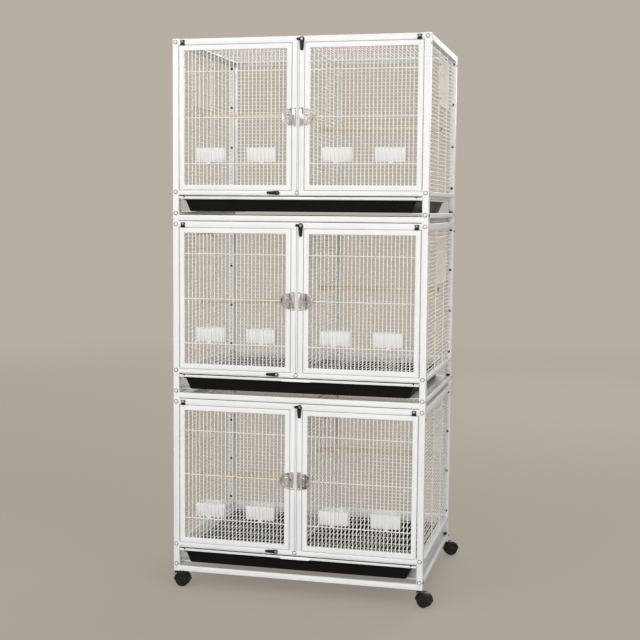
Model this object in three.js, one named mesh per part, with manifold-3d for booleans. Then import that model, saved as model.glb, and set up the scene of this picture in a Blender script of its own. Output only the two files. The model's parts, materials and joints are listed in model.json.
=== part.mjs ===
// Canary breeding cage: three wire tiers in one welded frame on four twin-wheel casters.
// Millimetres, +Z up. The doors face -Y. The origin is on the floor under the middle of the frame.
import * as THREE from 'three';
import { mergeVertices } from 'three/addons/utils/BufferGeometryUtils.js';
import Module from 'manifold-3d';

const wasm = await Module();
wasm.setup();

// ---------------------------------------------------------------- driving dimensions
// Frame
const CAGE_WIDTH = 760; // over the posts, side to side
const CAGE_DEPTH = 560; // over the posts, front to back
const POST_SIZE = 18;
const POST_HEAD = 1; // post above the highest rail
const POST_FOOT = 1; // post below the lowest rail
const RAIL_DEPTH = 16; // rails are flush with the posts' outer faces
const TIER_NAMES = ['top', 'middle', 'bottom'];

// One tier, from the top of its top rail downwards
const TOP_RAIL_HEIGHT = 18;
const DOORWAY_HEIGHT = 420;
const LOWER_RAIL_HEIGHT = 12.5;
const GRATE_BAY_HEIGHT = 12.5;
const TRAY_BAY_HEIGHT = 36;
const UNDER_TRAY_GAP = 11;
const BASE_RAIL_HEIGHT = 16.5;
const TIER_GAP = 2;

// Clearances
const SEAT_GAP = 0.3; // between pieces that touch
const RUN_GAP = 1; // between pieces that slide or swing past each other
const TURN_GAP = 0.6; // round a pin or an axle

// Welded wire
const MESH_WIRE = 1.8;
const MESH_PITCH = 46; // every fourth wire of the real mesh is drawn
const BACK_SUPPORT_PITCH = 120; // wires that cross the close-set ones and carry them
const ROOF_SUPPORT_PITCH = 128;
const DIVIDER_SUPPORT_PITCH = 180;
const LAYER_GAP = 0.3; // between the two layers of crossing wires

// Centre stiles, with the slot that the divider slides through
const DIVIDER_SLOT = 6;
const STILE_WIDTH = 15;

// Doors
const DOOR_FRAME_WIDTH = 15;
const DOOR_THICKNESS = 12;
const DOOR_HINGE_GAP = 2.5;
const DOOR_FREE_GAP = 1.5;
const DOOR_WIRE = 2.4;
const DOOR_WIRE_COUNT = 13; // every second wire of the real door is drawn
const DOOR_BAR = 2.2;
const DOOR_BAR_PITCH = 133; // three bars, the middle one at half height
const DOOR_PIN_RADIUS = 2.5;
const DOOR_PIN_LENGTH = 6;

// Latches: a D-shaped flap that turns on the door, and a keeper plate on the stile
const KEEPER_WIDTH = 10;
const KEEPER_HEIGHT = 54;
const KEEPER_THICKNESS = 2;
const LATCH_HEIGHT = 48;
const LATCH_REACH = 28; // round side of the flap, from the door's free edge inwards
const LATCH_THICKNESS = 3;
const LATCH_TONGUE = 10;
const LATCH_TONGUE_HEIGHT = 12;
const LATCH_STEM_RADIUS = 4;

// Turning clips on the rails
const CLIP_THICKNESS = 3;
const CLIP_LENGTH = 33; // from the screw to the tip
const TRAY_CLIP_X = -59;
const CLIP_SCREW_RADIUS = 3.6;
const CLIP_SCREW_HEIGHT = 1.6;
const CLIP_EAR_REACH = 12; // from the screw, on the divider's clips only
const CLIP_EAR_RADIUS = 4;

// Feed and water cups on the doors
const CUP_WIDTH = 92;
const CUP_DEPTH = 48;
const CUP_HEIGHT = 42;
const CUP_WALL = 2;
const CUP_TAB_WIDTH = 6;
const CUP_TAB_HEIGHT = 3.6;
const CUP_OFFSET_GAPS = 3.5; // wire gaps from the door's middle to a cup's middle

// Divider
const DIVIDER_FRAME = 6;

// Floor grate
const GRATE_FRAME_WIDTH = 8;
const GRATE_FRAME_HEIGHT = 6;
const GRATE_STRIP_THICKNESS = 3;
const GRATE_LIP_WIDTH = 90;
const GRATE_LIP_REACH = 8;
const GRATE_LIP_THICKNESS = 2;
const GRATE_CROSS_WIRES = 3;

// Droppings tray
const TRAY_WIDTH = 700;
const TRAY_TAPER = 14; // each end leans in by this much at the bottom
const TRAY_FRONT_TAPER = 3;
const TRAY_WALL = 2.5;
const TRAY_RIM = 5;
const TRAY_RIM_THICKNESS = 2.5;
const TRAY_REAR_SPACE = 6;

// Side panels
const SIDE_STILE = 6;
const SIDE_BASE_RAIL_HEIGHT = 14;
const RUNNER_THICKNESS = 2;
const GRATE_RUNNER_REACH = 12;
const TRAY_RUNNER_REACH = 46;
const RUNNER_WEB = 2;

// Nest hatches in the side panels
const HATCH_BAR = 3;
const HATCH_FRONT = 177; // opening's front edge, behind the cage's front face
const HATCH_WIDTH = 161;
const HATCH_DROP = 27; // opening's top edge, below the top rail
const HATCH_HEIGHT = 134;
const HATCH_OVERLAP = 4;
const HATCH_WIRE_COUNT = 7;

// Roof panels
const ROOF_FRAME_WIDTH = 8;
const ROOF_FRAME_HEIGHT = 6;
const ROOF_DROP = 3; // below the top of the top rail

// Casters
const CASTER_HEIGHT = 47; // floor to post
const WHEEL_RADIUS = 21.5;
const WHEEL_SIDES = 16;
const WHEEL_WIDTH = 8.5;
const WHEEL_HUB_GAP = 7; // between the two wheels
const AXLE_RADIUS = 3;
const CASTER_TRAIL = 17;
const HOOD_THICKNESS = 2;
const HOOD_WIDTH = 26;
const WEB_THICKNESS = 6;
const WEB_WIDTH = 16;
const STEM_RADIUS = 5;
const STEM_LENGTH = 18;
const SOCKET_DEPTH = 20;
const NECK_RADIUS = 8.5;
const HOOD_CURVE = 8;
const CASTER_ANGLES = { front_left: 0, front_right: -30, back_left: 150, back_right: 30 };

// ---------------------------------------------------------------- places worked out from them
const OUTER_X = CAGE_WIDTH / 2;
const OUTER_Y = CAGE_DEPTH / 2;
const POST_INNER_X = OUTER_X - POST_SIZE;
const POST_INNER_Y = OUTER_Y - POST_SIZE;
const RAIL_INNER_X = OUTER_X - RAIL_DEPTH;
const RAIL_INNER_Y = OUTER_Y - RAIL_DEPTH;
const STILE_OUTER_X = DIVIDER_SLOT / 2 + STILE_WIDTH;

const DOORWAY_TOP = -TOP_RAIL_HEIGHT;
const DOORWAY_FOOT = DOORWAY_TOP - DOORWAY_HEIGHT;
const LOWER_RAIL_FOOT = DOORWAY_FOOT - LOWER_RAIL_HEIGHT;
const GRATE_BAY_FOOT = LOWER_RAIL_FOOT - GRATE_BAY_HEIGHT;
const TRAY_BAY_FOOT = GRATE_BAY_FOOT - TRAY_BAY_HEIGHT;
const BASE_RAIL_TOP = TRAY_BAY_FOOT - UNDER_TRAY_GAP;
const BASE_RAIL_FOOT = BASE_RAIL_TOP - BASE_RAIL_HEIGHT;
const GRATE_TOP = LOWER_RAIL_FOOT - SEAT_GAP;
const GRATE_FRAME_FOOT = GRATE_TOP - GRATE_FRAME_HEIGHT;
const GRATE_STRIP_FOOT = GRATE_BAY_FOOT + SEAT_GAP;
const TIER_PITCH = TIER_GAP - BASE_RAIL_FOOT;
const POST_BOTTOM = CASTER_HEIGHT;
const FRAME_TOP = POST_BOTTOM + POST_FOOT - BASE_RAIL_FOOT + (TIER_NAMES.length - 1) * TIER_PITCH;
const POST_TOP = FRAME_TOP + POST_HEAD;
const tierTop = (index) => FRAME_TOP - index * TIER_PITCH;

const HANDS = { left: -1, right: 1 };
const BITE = 2; // how far a joined bar runs into the one it is welded to

// ---------------------------------------------------------------- materials
const paint = (color, roughness, metalness = 0) =>
  new THREE.MeshStandardMaterial({ color, roughness, metalness });
const frameWhite = paint(0xf1f1ee, 0.42);
const wireWhite = paint(0xefece4, 0.45);
const blackPlastic = paint(0x17161a, 0.38);
const chrome = paint(0xc9cbcd, 0.16, 1);
const cupPlastic = paint(0xf3f3f1, 0.3);

// ---------------------------------------------------------------- solids
function solidFrom(geometry) {
  const bare = geometry.index ? geometry.toNonIndexed() : geometry.clone();
  bare.deleteAttribute('normal');
  bare.deleteAttribute('uv');
  const merged = mergeVertices(bare, 1e-4);
  return new wasm.Manifold(
    new wasm.Mesh({
      numProp: 3,
      vertProperties: new Float32Array(merged.attributes.position.array),
      triVerts: new Uint32Array(merged.index.array),
    }),
  );
}

// A box between two opposite corners, given in any order.
function block(xa, xb, ya, yb, za, zb) {
  const size = [Math.abs(xb - xa), Math.abs(yb - ya), Math.abs(zb - za)];
  const geometry = new THREE.BoxGeometry(...size);
  geometry.translate((xa + xb) / 2, (ya + yb) / 2, (za + zb) / 2);
  return solidFrom(geometry);
}

// A round bar along Z, its flats turned to face the axes.
function roundAlongZ(radius, x, y, za, zb, sides) {
  const geometry = new THREE.CylinderGeometry(radius, radius, Math.abs(zb - za), sides);
  geometry.rotateX(Math.PI / 2);
  geometry.rotateZ(Math.PI / sides);
  geometry.translate(x, y, (za + zb) / 2);
  return solidFrom(geometry);
}

// A round bar along Y.
function roundAlongY(radius, x, ya, yb, z, sides) {
  const geometry = new THREE.CylinderGeometry(radius, radius, Math.abs(yb - ya), sides);
  geometry.rotateY(Math.PI / sides);
  geometry.translate(x, (ya + yb) / 2, z);
  return solidFrom(geometry);
}

// An outline drawn in X and Z, given a thickness along Y.
function plateAlongY(shape, ya, yb, curveSegments) {
  const geometry = new THREE.ExtrudeGeometry(shape, {
    depth: Math.abs(yb - ya),
    bevelEnabled: false,
    curveSegments,
  });
  geometry.rotateX(Math.PI / 2);
  geometry.translate(0, Math.max(ya, yb), 0);
  return solidFrom(geometry);
}

function join(solids) {
  return solids.reduce((whole, next) => whole.add(next));
}

function meshOf(solid, name, material) {
  const { vertProperties, triVerts } = solid.getMesh();
  const geometry = new THREE.BufferGeometry();
  geometry.setAttribute('position', new THREE.BufferAttribute(vertProperties, 3));
  geometry.setIndex(new THREE.BufferAttribute(triVerts, 1));
  const mesh = new THREE.Mesh(geometry, material);
  mesh.name = name;
  return mesh;
}

// Bars in a plane: u and v run in the plane, w is across it.
const PLANES = {
  XZ: (u, v, w) => block(...u, ...w, ...v),
  YZ: (u, v, w) => block(...w, ...u, ...v),
  XY: (u, v, w) => block(...u, ...v, ...w),
};

// Places that divide a length evenly, at about the pitch asked for.
function evenly(from, to, pitch) {
  const gaps = Math.max(1, Math.round(Math.abs(to - from) / pitch));
  return Array.from({ length: gaps - 1 }, (_, i) => from + ((to - from) * (i + 1)) / gaps);
}

// A rectangle of four bars whose outer edges are u and v.
function ring(plane, u, v, w, width) {
  const bar = PLANES[plane];
  return [
    bar([u[0], u[0] + width], v, w),
    bar([u[1] - width, u[1]], v, w),
    bar([u[0] + BITE, u[1] - BITE], [v[0], v[0] + width], w),
    bar([u[0] + BITE, u[1] - BITE], [v[1] - width, v[1]], w),
  ];
}

// Crossing wires between the inner edges u and v, in two layers about the middle w.
function wireField(plane, u, v, w, pitchU, pitchV) {
  const bar = PLANES[plane];
  const wire = MESH_WIRE;
  const near = [w - LAYER_GAP / 2 - wire, w - LAYER_GAP / 2];
  const far = [w + LAYER_GAP / 2, w + LAYER_GAP / 2 + wire];
  const along = evenly(u[0], u[1], pitchU).map((at) =>
    bar([at - wire / 2, at + wire / 2], [v[0] - BITE, v[1] + BITE], near),
  );
  const across = evenly(v[0], v[1], pitchV).map((at) =>
    bar([u[0] - BITE, u[1] + BITE], [at - wire / 2, at + wire / 2], far),
  );
  return [...along, ...across];
}

// ---------------------------------------------------------------- frames
const HINGE_X = POST_INNER_X - DOOR_HINGE_GAP - DOOR_FRAME_WIDTH / 2;
const HINGE_Y = -OUTER_Y + DOOR_THICKNESS / 2;
const DOOR_LEAF_WIDTH = POST_INNER_X - STILE_OUTER_X - DOOR_HINGE_GAP - DOOR_FREE_GAP;
const DOOR_TOP = DOORWAY_TOP - RUN_GAP;
const DOOR_FOOT = DOORWAY_FOOT + RUN_GAP;
const DOOR_MIDDLE = (DOOR_TOP + DOOR_FOOT) / 2;
const PIN_SIDES = 8;

function posts(ya, yb) {
  return Object.values(HANDS).map((hand) =>
    block(hand * POST_INNER_X, hand * OUTER_X, ya, yb, POST_BOTTOM, POST_TOP),
  );
}

function stemSockets(y) {
  return Object.values(HANDS).map((hand) =>
    roundAlongZ(
      STEM_RADIUS + TURN_GAP,
      hand * (OUTER_X - POST_SIZE / 2),
      y,
      POST_BOTTOM - RUN_GAP,
      POST_BOTTOM + SOCKET_DEPTH,
      PIN_SIDES,
    ),
  );
}

// The three rails of one tier that run from post to post.
function crossRails(top, ya, yb) {
  const reach = POST_INNER_X + BITE;
  return [
    block(-reach, reach, ya, yb, top, top + DOORWAY_TOP),
    block(-reach, reach, ya, yb, top + DOORWAY_FOOT, top + LOWER_RAIL_FOOT),
    block(-reach, reach, ya, yb, top + BASE_RAIL_TOP, top + BASE_RAIL_FOOT),
  ];
}

function frontFrame() {
  const front = -OUTER_Y;
  const railBack = -RAIL_INNER_Y;
  const welded = posts(front, -POST_INNER_Y);
  const holes = stemSockets(-OUTER_Y + POST_SIZE / 2);
  TIER_NAMES.forEach((_, index) => {
    const top = tierTop(index);
    welded.push(...crossRails(top, front, railBack));
    for (const hand of Object.values(HANDS)) {
      const inner = (hand * DIVIDER_SLOT) / 2;
      const outer = hand * STILE_OUTER_X;
      const stileTop = top + DOORWAY_TOP + BITE;
      const stileFoot = top + DOORWAY_FOOT - BITE;
      welded.push(block(inner, outer, front, railBack, stileTop, stileFoot));
      const keeperX = (inner + outer) / 2;
      const keeperZ = top + DOOR_MIDDLE;
      welded.push(
        block(
          keeperX - KEEPER_WIDTH / 2,
          keeperX + KEEPER_WIDTH / 2,
          front - KEEPER_THICKNESS,
          front + BITE,
          keeperZ - KEEPER_HEIGHT / 2,
          keeperZ + KEEPER_HEIGHT / 2,
        ),
      );
      const pinHole = DOOR_PIN_RADIUS + TURN_GAP;
      const depth = DOOR_PIN_LENGTH + RUN_GAP;
      const x = hand * HINGE_X;
      const upper = top + DOORWAY_TOP;
      const lower = top + DOORWAY_FOOT;
      holes.push(roundAlongZ(pinHole, x, HINGE_Y, upper - RUN_GAP, upper + depth, PIN_SIDES));
      holes.push(roundAlongZ(pinHole, x, HINGE_Y, lower + RUN_GAP, lower - depth, PIN_SIDES));
    }
  });
  return join(welded).subtract(join(holes));
}

function backFrame() {
  const welded = posts(POST_INNER_Y, OUTER_Y);
  TIER_NAMES.forEach((_, index) => {
    const top = tierTop(index);
    welded.push(...crossRails(top, RAIL_INNER_Y, OUTER_Y));
    const across = [-POST_INNER_X, POST_INNER_X];
    const up = [top + DOORWAY_FOOT, top + DOORWAY_TOP];
    const middle = OUTER_Y - RAIL_DEPTH / 2;
    welded.push(...wireField('XZ', across, up, middle, BACK_SUPPORT_PITCH, MESH_PITCH));
  });
  return join(welded).subtract(join(stemSockets(OUTER_Y - POST_SIZE / 2)));
}

// ---------------------------------------------------------------- side panels and hatches
const SIDE_END_Y = POST_INNER_Y - SEAT_GAP;
const SIDE_CLEAR_Y = SIDE_END_Y - SIDE_STILE;
const WIRE_PLANE_X = OUTER_X - RAIL_DEPTH / 2;
const HATCH_Y = [-OUTER_Y + HATCH_FRONT, -OUTER_Y + HATCH_FRONT + HATCH_WIDTH];
const HATCH_Z = [DOORWAY_TOP - HATCH_DROP - HATCH_HEIGHT, DOORWAY_TOP - HATCH_DROP];
const MESH_HALF_DEPTH = MESH_WIRE + LAYER_GAP / 2;
const HATCH_HINGE_X = WIRE_PLANE_X + MESH_HALF_DEPTH + RUN_GAP + HATCH_BAR / 2;

// One tier of the left panel's mesh: wires from end to end, carried by two full-height uprights
// that also edge the nest opening. Wires that would cross the opening stop at the uprights.
function sideMesh(top) {
  const wireX = [-WIRE_PLANE_X - MESH_HALF_DEPTH, -WIRE_PLANE_X - LAYER_GAP / 2];
  const uprightX = [-WIRE_PLANE_X - MESH_HALF_DEPTH, -WIRE_PLANE_X + MESH_HALF_DEPTH];
  const half = MESH_WIRE / 2;
  const endY = SIDE_CLEAR_Y + BITE;
  const spanZ = [top + DOORWAY_FOOT - BITE, top + DOORWAY_TOP + BITE];
  const hatchZ = HATCH_Z.map((z) => z + top);
  const frameZ = [hatchZ[0] - HATCH_BAR, hatchZ[1] + HATCH_BAR];
  const betweenY = [HATCH_Y[0] - HATCH_BAR / 2, HATCH_Y[1] + HATCH_BAR / 2];
  const bars = [
    block(...uprightX, HATCH_Y[0] - HATCH_BAR, HATCH_Y[0], ...spanZ),
    block(...uprightX, HATCH_Y[1], HATCH_Y[1] + HATCH_BAR, ...spanZ),
    block(...uprightX, ...betweenY, frameZ[0], hatchZ[0]),
    block(...uprightX, ...betweenY, hatchZ[1], frameZ[1]),
  ];
  for (const z of evenly(top + DOORWAY_FOOT, top + DOORWAY_TOP, MESH_PITCH)) {
    const stops = z > frameZ[0] - half && z < frameZ[1] + half;
    const spans = stops ? [[-endY, betweenY[0]], [betweenY[1], endY]] : [[-endY, endY]];
    for (const span of spans) {
      bars.push(block(...wireX, ...span, z - half, z + half));
    }
  }
  return bars;
}

const TRAY_RUNNER_TOP = TRAY_BAY_FOOT;

// The left panel. The right one is the same panel turned half round.
function sidePanel() {
  const rail = [-OUTER_X, -RAIL_INNER_X];
  const ends = [-SIDE_END_Y, SIDE_END_Y];
  const foot = tierTop(TIER_NAMES.length - 1) + TRAY_RUNNER_TOP - SIDE_BASE_RAIL_HEIGHT;
  const welded = [-1, 1].map((end) =>
    block(...rail, end * SIDE_END_Y, end * SIDE_CLEAR_Y, foot, tierTop(0)),
  );
  const webX = -RAIL_INNER_X - RUNNER_WEB;
  const inside = [-SIDE_END_Y + BITE, SIDE_END_Y - BITE];
  TIER_NAMES.forEach((_, index) => {
    const top = tierTop(index);
    const runnerTop = top + TRAY_RUNNER_TOP;
    const ledgeTop = top + GRATE_FRAME_FOOT - SEAT_GAP;
    const ledgeFoot = ledgeTop - RUNNER_THICKNESS;
    const ledgeX = -RAIL_INNER_X + GRATE_RUNNER_REACH;
    const runnerX = -RAIL_INNER_X + TRAY_RUNNER_REACH;
    welded.push(block(...rail, ...ends, top, top + DOORWAY_TOP));
    welded.push(block(...rail, ...ends, top + DOORWAY_FOOT, top + LOWER_RAIL_FOOT));
    welded.push(block(...rail, ...ends, runnerTop, runnerTop - SIDE_BASE_RAIL_HEIGHT));
    welded.push(block(webX, -RAIL_INNER_X, ...inside, top + LOWER_RAIL_FOOT + BITE, ledgeFoot));
    welded.push(block(webX, ledgeX, ...inside, ledgeTop, ledgeFoot));
    welded.push(block(webX, runnerX, ...inside, runnerTop, runnerTop - RUNNER_THICKNESS));
    welded.push(...sideMesh(top));
  });
  return join(welded);
}

// The left panel's hatch hangs on its rear edge. Its frame: the hinge line is x = 0, y = 0.
function nestHatch() {
  const half = HATCH_BAR / 2;
  const length = HATCH_WIDTH + 2 * HATCH_OVERLAP;
  const across = [-length + half, half];
  const up = [HATCH_Z[0] - HATCH_OVERLAP, HATCH_Z[1] + HATCH_OVERLAP];
  const bars = ring('YZ', across, up, [-half, half], HATCH_BAR);
  const clear = [across[0] + HATCH_BAR, across[1] - HATCH_BAR];
  const pitch = (clear[1] - clear[0]) / (HATCH_WIRE_COUNT + 1);
  for (const y of evenly(clear[0], clear[1], pitch)) {
    const wire = MESH_WIRE / 2;
    const z = [up[0] + HATCH_BAR - BITE, up[1] - HATCH_BAR + BITE];
    bars.push(block(-wire, wire, y - wire, y + wire, ...z));
  }
  return join(bars);
}

// ---------------------------------------------------------------- roof, divider, grate, tray
function roofPanel() {
  const reachX = POST_INNER_X - SEAT_GAP;
  const reachY = RAIL_INNER_Y - SEAT_GAP;
  const w = [-ROOF_DROP - ROOF_FRAME_HEIGHT, -ROOF_DROP];
  const clearX = reachX - ROOF_FRAME_WIDTH;
  const clearY = reachY - ROOF_FRAME_WIDTH;
  const across = [-clearX, clearX];
  const along = [-clearY, clearY];
  return join([
    ...ring('XY', [-reachX, reachX], [-reachY, reachY], w, ROOF_FRAME_WIDTH),
    ...wireField('XY', across, along, (w[0] + w[1]) / 2, MESH_PITCH, ROOF_SUPPORT_PITCH),
  ]);
}

function divider() {
  const half = MESH_HALF_DEPTH;
  const y = [-OUTER_Y + RUN_GAP, RAIL_INNER_Y - RUN_GAP];
  const z = [DOORWAY_FOOT + RUN_GAP, DOORWAY_TOP - RUN_GAP];
  const clearY = [y[0] + DIVIDER_FRAME, y[1] - DIVIDER_FRAME];
  const clearZ = [z[0] + DIVIDER_FRAME, z[1] - DIVIDER_FRAME];
  return join([
    ...ring('YZ', y, z, [-half, half], DIVIDER_FRAME),
    ...wireField('YZ', clearY, clearZ, 0, DIVIDER_SUPPORT_PITCH, MESH_PITCH),
  ]);
}

const GRATE_HALF_WIDTH = POST_INNER_X - RUN_GAP;

// The frame hangs level with the top of its front strip, which closes the bay below the rail.
function grate() {
  const front = -OUTER_Y;
  const back = RAIL_INNER_Y - RUN_GAP;
  const up = [GRATE_FRAME_FOOT, GRATE_TOP];
  const frame = [-GRATE_HALF_WIDTH, GRATE_HALF_WIDTH];
  const clearX = frame.map((x) => x - Math.sign(x) * GRATE_FRAME_WIDTH);
  const clearY = [front + GRATE_FRAME_WIDTH, back - GRATE_FRAME_WIDTH];
  const pitchY = (clearY[1] - clearY[0]) / (GRATE_CROSS_WIRES + 1);
  const middle = (up[0] + up[1]) / 2;
  const stripBack = front + GRATE_STRIP_THICKNESS;
  const lipHalf = GRATE_LIP_WIDTH / 2;
  const lipTop = GRATE_STRIP_FOOT + GRATE_LIP_THICKNESS;
  return join([
    ...ring('XY', frame, [front, back], up, GRATE_FRAME_WIDTH),
    ...wireField('XY', clearX, clearY, middle, MESH_PITCH, pitchY),
    block(...frame, front, stripBack, GRATE_STRIP_FOOT, GRATE_TOP),
    block(-lipHalf, lipHalf, front - GRATE_LIP_REACH, front + BITE, GRATE_STRIP_FOOT, lipTop),
  ]);
}

const TRAY_TOP = GRATE_BAY_FOOT - RUN_GAP;
const TRAY_FOOT = TRAY_RUNNER_TOP + SEAT_GAP;

// A box whose four sides lean in evenly from the top outline to the bottom one.
function leaningBox(top, bottom, y, z) {
  const [frontTop, frontFoot, back] = y;
  const corners = [
    [-bottom, frontFoot, z[0]], [bottom, frontFoot, z[0]],
    [bottom, back, z[0]], [-bottom, back, z[0]],
    [-top, frontTop, z[1]], [top, frontTop, z[1]],
    [top, back, z[1]], [-top, back, z[1]],
  ];
  const faces = [
    [0, 2, 1], [0, 3, 2], [4, 5, 6], [4, 6, 7], [0, 1, 5], [0, 5, 4],
    [1, 2, 6], [1, 6, 5], [2, 3, 7], [2, 7, 6], [3, 0, 4], [3, 4, 7],
  ];
  const geometry = new THREE.BufferGeometry();
  geometry.setAttribute('position', new THREE.Float32BufferAttribute(corners.flat(), 3));
  geometry.setIndex(faces.flat());
  return solidFrom(geometry);
}

function tray() {
  const rimX = TRAY_WIDTH / 2;
  const bodyX = rimX - TRAY_RIM;
  const footX = bodyX - TRAY_TAPER;
  const rimFront = -OUTER_Y + RUN_GAP;
  const bodyFront = rimFront + TRAY_RIM;
  const footFront = bodyFront + TRAY_FRONT_TAPER;
  const rimBack = RAIL_INNER_Y - TRAY_REAR_SPACE;
  const bodyBack = rimBack - TRAY_RIM;
  const rim = block(-rimX, rimX, rimFront, rimBack, TRAY_TOP - TRAY_RIM_THICKNESS, TRAY_TOP);
  const body = leaningBox(bodyX, footX, [bodyFront, footFront, bodyBack], [TRAY_FOOT, TRAY_TOP]);
  const hollow = leaningBox(
    bodyX - TRAY_WALL,
    footX - TRAY_WALL,
    [bodyFront + TRAY_WALL, footFront + TRAY_WALL, bodyBack - TRAY_WALL],
    [TRAY_FOOT + TRAY_WALL, TRAY_TOP + RUN_GAP],
  );
  return rim.add(body).subtract(hollow);
}

// ---------------------------------------------------------------- doors, latches, cups
// A door's frame of reference: the hinge line is x = 0, y = 0. `inward` is +1 or -1, towards the
// centre stiles.
const DOOR_EDGES = [-DOOR_FRAME_WIDTH / 2, DOOR_LEAF_WIDTH - DOOR_FRAME_WIDTH / 2];
const DOOR_CLEAR = [DOOR_EDGES[0] + DOOR_FRAME_WIDTH, DOOR_EDGES[1] - DOOR_FRAME_WIDTH];
const DOOR_WIRE_PITCH = (DOOR_CLEAR[1] - DOOR_CLEAR[0]) / (DOOR_WIRE_COUNT + 1);
const DOOR_BAR_BACK = -DOOR_WIRE / 2 - LAYER_GAP;
const DOOR_BAR_FRONT = DOOR_BAR_BACK - DOOR_BAR;

function door(inward) {
  const sorted = (pair) => pair.map((value) => value * inward).sort((a, b) => a - b);
  const half = DOOR_THICKNESS / 2;
  const up = [DOOR_FOOT, DOOR_TOP];
  const bars = ring('XZ', sorted(DOOR_EDGES), up, [-half, half], DOOR_FRAME_WIDTH);
  const clear = sorted(DOOR_CLEAR);
  const clearZ = [DOOR_FOOT + DOOR_FRAME_WIDTH, DOOR_TOP - DOOR_FRAME_WIDTH];
  const wire = DOOR_WIRE / 2;
  for (const x of evenly(clear[0], clear[1], DOOR_WIRE_PITCH)) {
    bars.push(block(x - wire, x + wire, -wire, wire, clearZ[0] - BITE, clearZ[1] + BITE));
  }
  for (const step of [-1, 0, 1]) {
    const z = DOOR_MIDDLE + step * DOOR_BAR_PITCH;
    const x = [clear[0] - BITE, clear[1] + BITE];
    bars.push(block(...x, DOOR_BAR_FRONT, DOOR_BAR_BACK, z - DOOR_BAR / 2, z + DOOR_BAR / 2));
  }
  const pinReach = RUN_GAP + DOOR_PIN_LENGTH;
  bars.push(roundAlongZ(DOOR_PIN_RADIUS, 0, 0, DOOR_TOP - BITE, DOOR_TOP + pinReach, PIN_SIDES));
  bars.push(roundAlongZ(DOOR_PIN_RADIUS, 0, 0, DOOR_FOOT + BITE, DOOR_FOOT - pinReach, PIN_SIDES));
  return join(bars);
}

const LATCH_X = DOOR_EDGES[1] - DOOR_FRAME_WIDTH / 2;
const LATCH_BACK = -DOOR_THICKNESS / 2 - KEEPER_THICKNESS - RUN_GAP;

const LATCH_CURVE = 6;

// A latch's frame of reference: its pivot is x = 0, z = 0 and y = 0 is the door's middle plane.
function latch(inward) {
  const edge = DOOR_FRAME_WIDTH / 2;
  const halfHeight = LATCH_HEIGHT / 2;
  const tongue = LATCH_TONGUE_HEIGHT / 2;
  const outline = new THREE.Shape();
  outline.moveTo(inward * edge, -halfHeight);
  outline.lineTo(inward * edge, -tongue);
  outline.lineTo(inward * (edge + LATCH_TONGUE), -tongue);
  outline.lineTo(inward * (edge + LATCH_TONGUE), tongue);
  outline.lineTo(inward * edge, tongue);
  outline.lineTo(inward * edge, halfHeight);
  const start = Math.PI / 2;
  const end = start + inward * Math.PI;
  outline.absellipse(inward * edge, 0, LATCH_REACH, halfHeight, start, end, inward < 0, 0);
  const flap = plateAlongY(outline, LATCH_BACK - LATCH_THICKNESS, LATCH_BACK, LATCH_CURVE);
  const stemBack = -DOOR_THICKNESS / 2 - SEAT_GAP;
  return flap.add(roundAlongY(LATCH_STEM_RADIUS, 0, LATCH_BACK - BITE / 2, stemBack, 0, PIN_SIDES));
}

const CUP_FOOT = DOOR_MIDDLE - DOOR_BAR_PITCH + DOOR_BAR / 2 + SEAT_GAP + CUP_TAB_HEIGHT;
const CUP_BACK = DOOR_WIRE / 2 + SEAT_GAP;

const CUP_CURVE = 6;
const CUP_STRAIGHT = 0.45; // straight part of a cup's sides, as a share of its depth

// A cup's frame of reference: x = 0 is its middle, y = 0 is the door's middle plane.
function cup() {
  const outline = (inset) => {
    const halfWidth = CUP_WIDTH / 2 - inset;
    const shape = new THREE.Shape();
    shape.moveTo(-halfWidth, CUP_BACK + inset);
    shape.lineTo(halfWidth, CUP_BACK + inset);
    const depth = CUP_DEPTH - inset * 2;
    const bend = CUP_BACK + inset + depth * CUP_STRAIGHT;
    const round = depth * (1 - CUP_STRAIGHT);
    shape.lineTo(halfWidth, bend);
    shape.absellipse(0, bend, halfWidth, round, 0, Math.PI, false, 0);
    return shape;
  };
  const standing = (inset, foot, height) => {
    const options = { depth: height, bevelEnabled: false, curveSegments: CUP_CURVE };
    const geometry = new THREE.ExtrudeGeometry(outline(inset), options);
    geometry.translate(0, 0, foot);
    return solidFrom(geometry);
  };
  const shell = standing(0, CUP_FOOT, CUP_HEIGHT);
  const hollow = standing(CUP_WALL, CUP_FOOT + CUP_WALL, CUP_HEIGHT);
  const half = CUP_TAB_WIDTH / 2;
  const tabFront = DOOR_BAR_FRONT - SEAT_GAP;
  const tabFoot = CUP_FOOT - CUP_TAB_HEIGHT;
  const tab = block(-half, half, tabFront, CUP_BACK + CUP_WALL, tabFoot, CUP_FOOT + CUP_WALL / 2);
  return shell.subtract(hollow).add(tab);
}

// ---------------------------------------------------------------- turning clips
// A clip's frame of reference: its screw is x = 0, z = 0, y = 0 is the rail's face, and the
// tongue points along +X.
function turningClip(radius, hasEar = false) {
  const outline = new THREE.Shape();
  const lean = Math.acos(radius / CLIP_LENGTH);
  outline.moveTo(CLIP_LENGTH, 0);
  outline.absarc(0, 0, radius, lean, 2 * Math.PI - lean, false);
  outline.lineTo(CLIP_LENGTH, 0);
  const back = -SEAT_GAP;
  const front = back - CLIP_THICKNESS;
  const parts = [
    plateAlongY(outline, front, back, CLIP_CURVE),
    roundAlongY(CLIP_SCREW_RADIUS, 0, front - CLIP_SCREW_HEIGHT, front + BITE / 2, 0, PIN_SIDES),
  ];
  if (hasEar) {
    const ear = new THREE.Shape();
    ear.moveTo(CLIP_EAR_RADIUS, 0);
    ear.absarc(0, -CLIP_EAR_REACH, CLIP_EAR_RADIUS, 2 * Math.PI, Math.PI, true);
    ear.lineTo(-CLIP_EAR_RADIUS, 0);
    ear.closePath();
    parts.push(plateAlongY(ear, front, back, CLIP_CURVE));
  }
  return join(parts);
}

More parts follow.
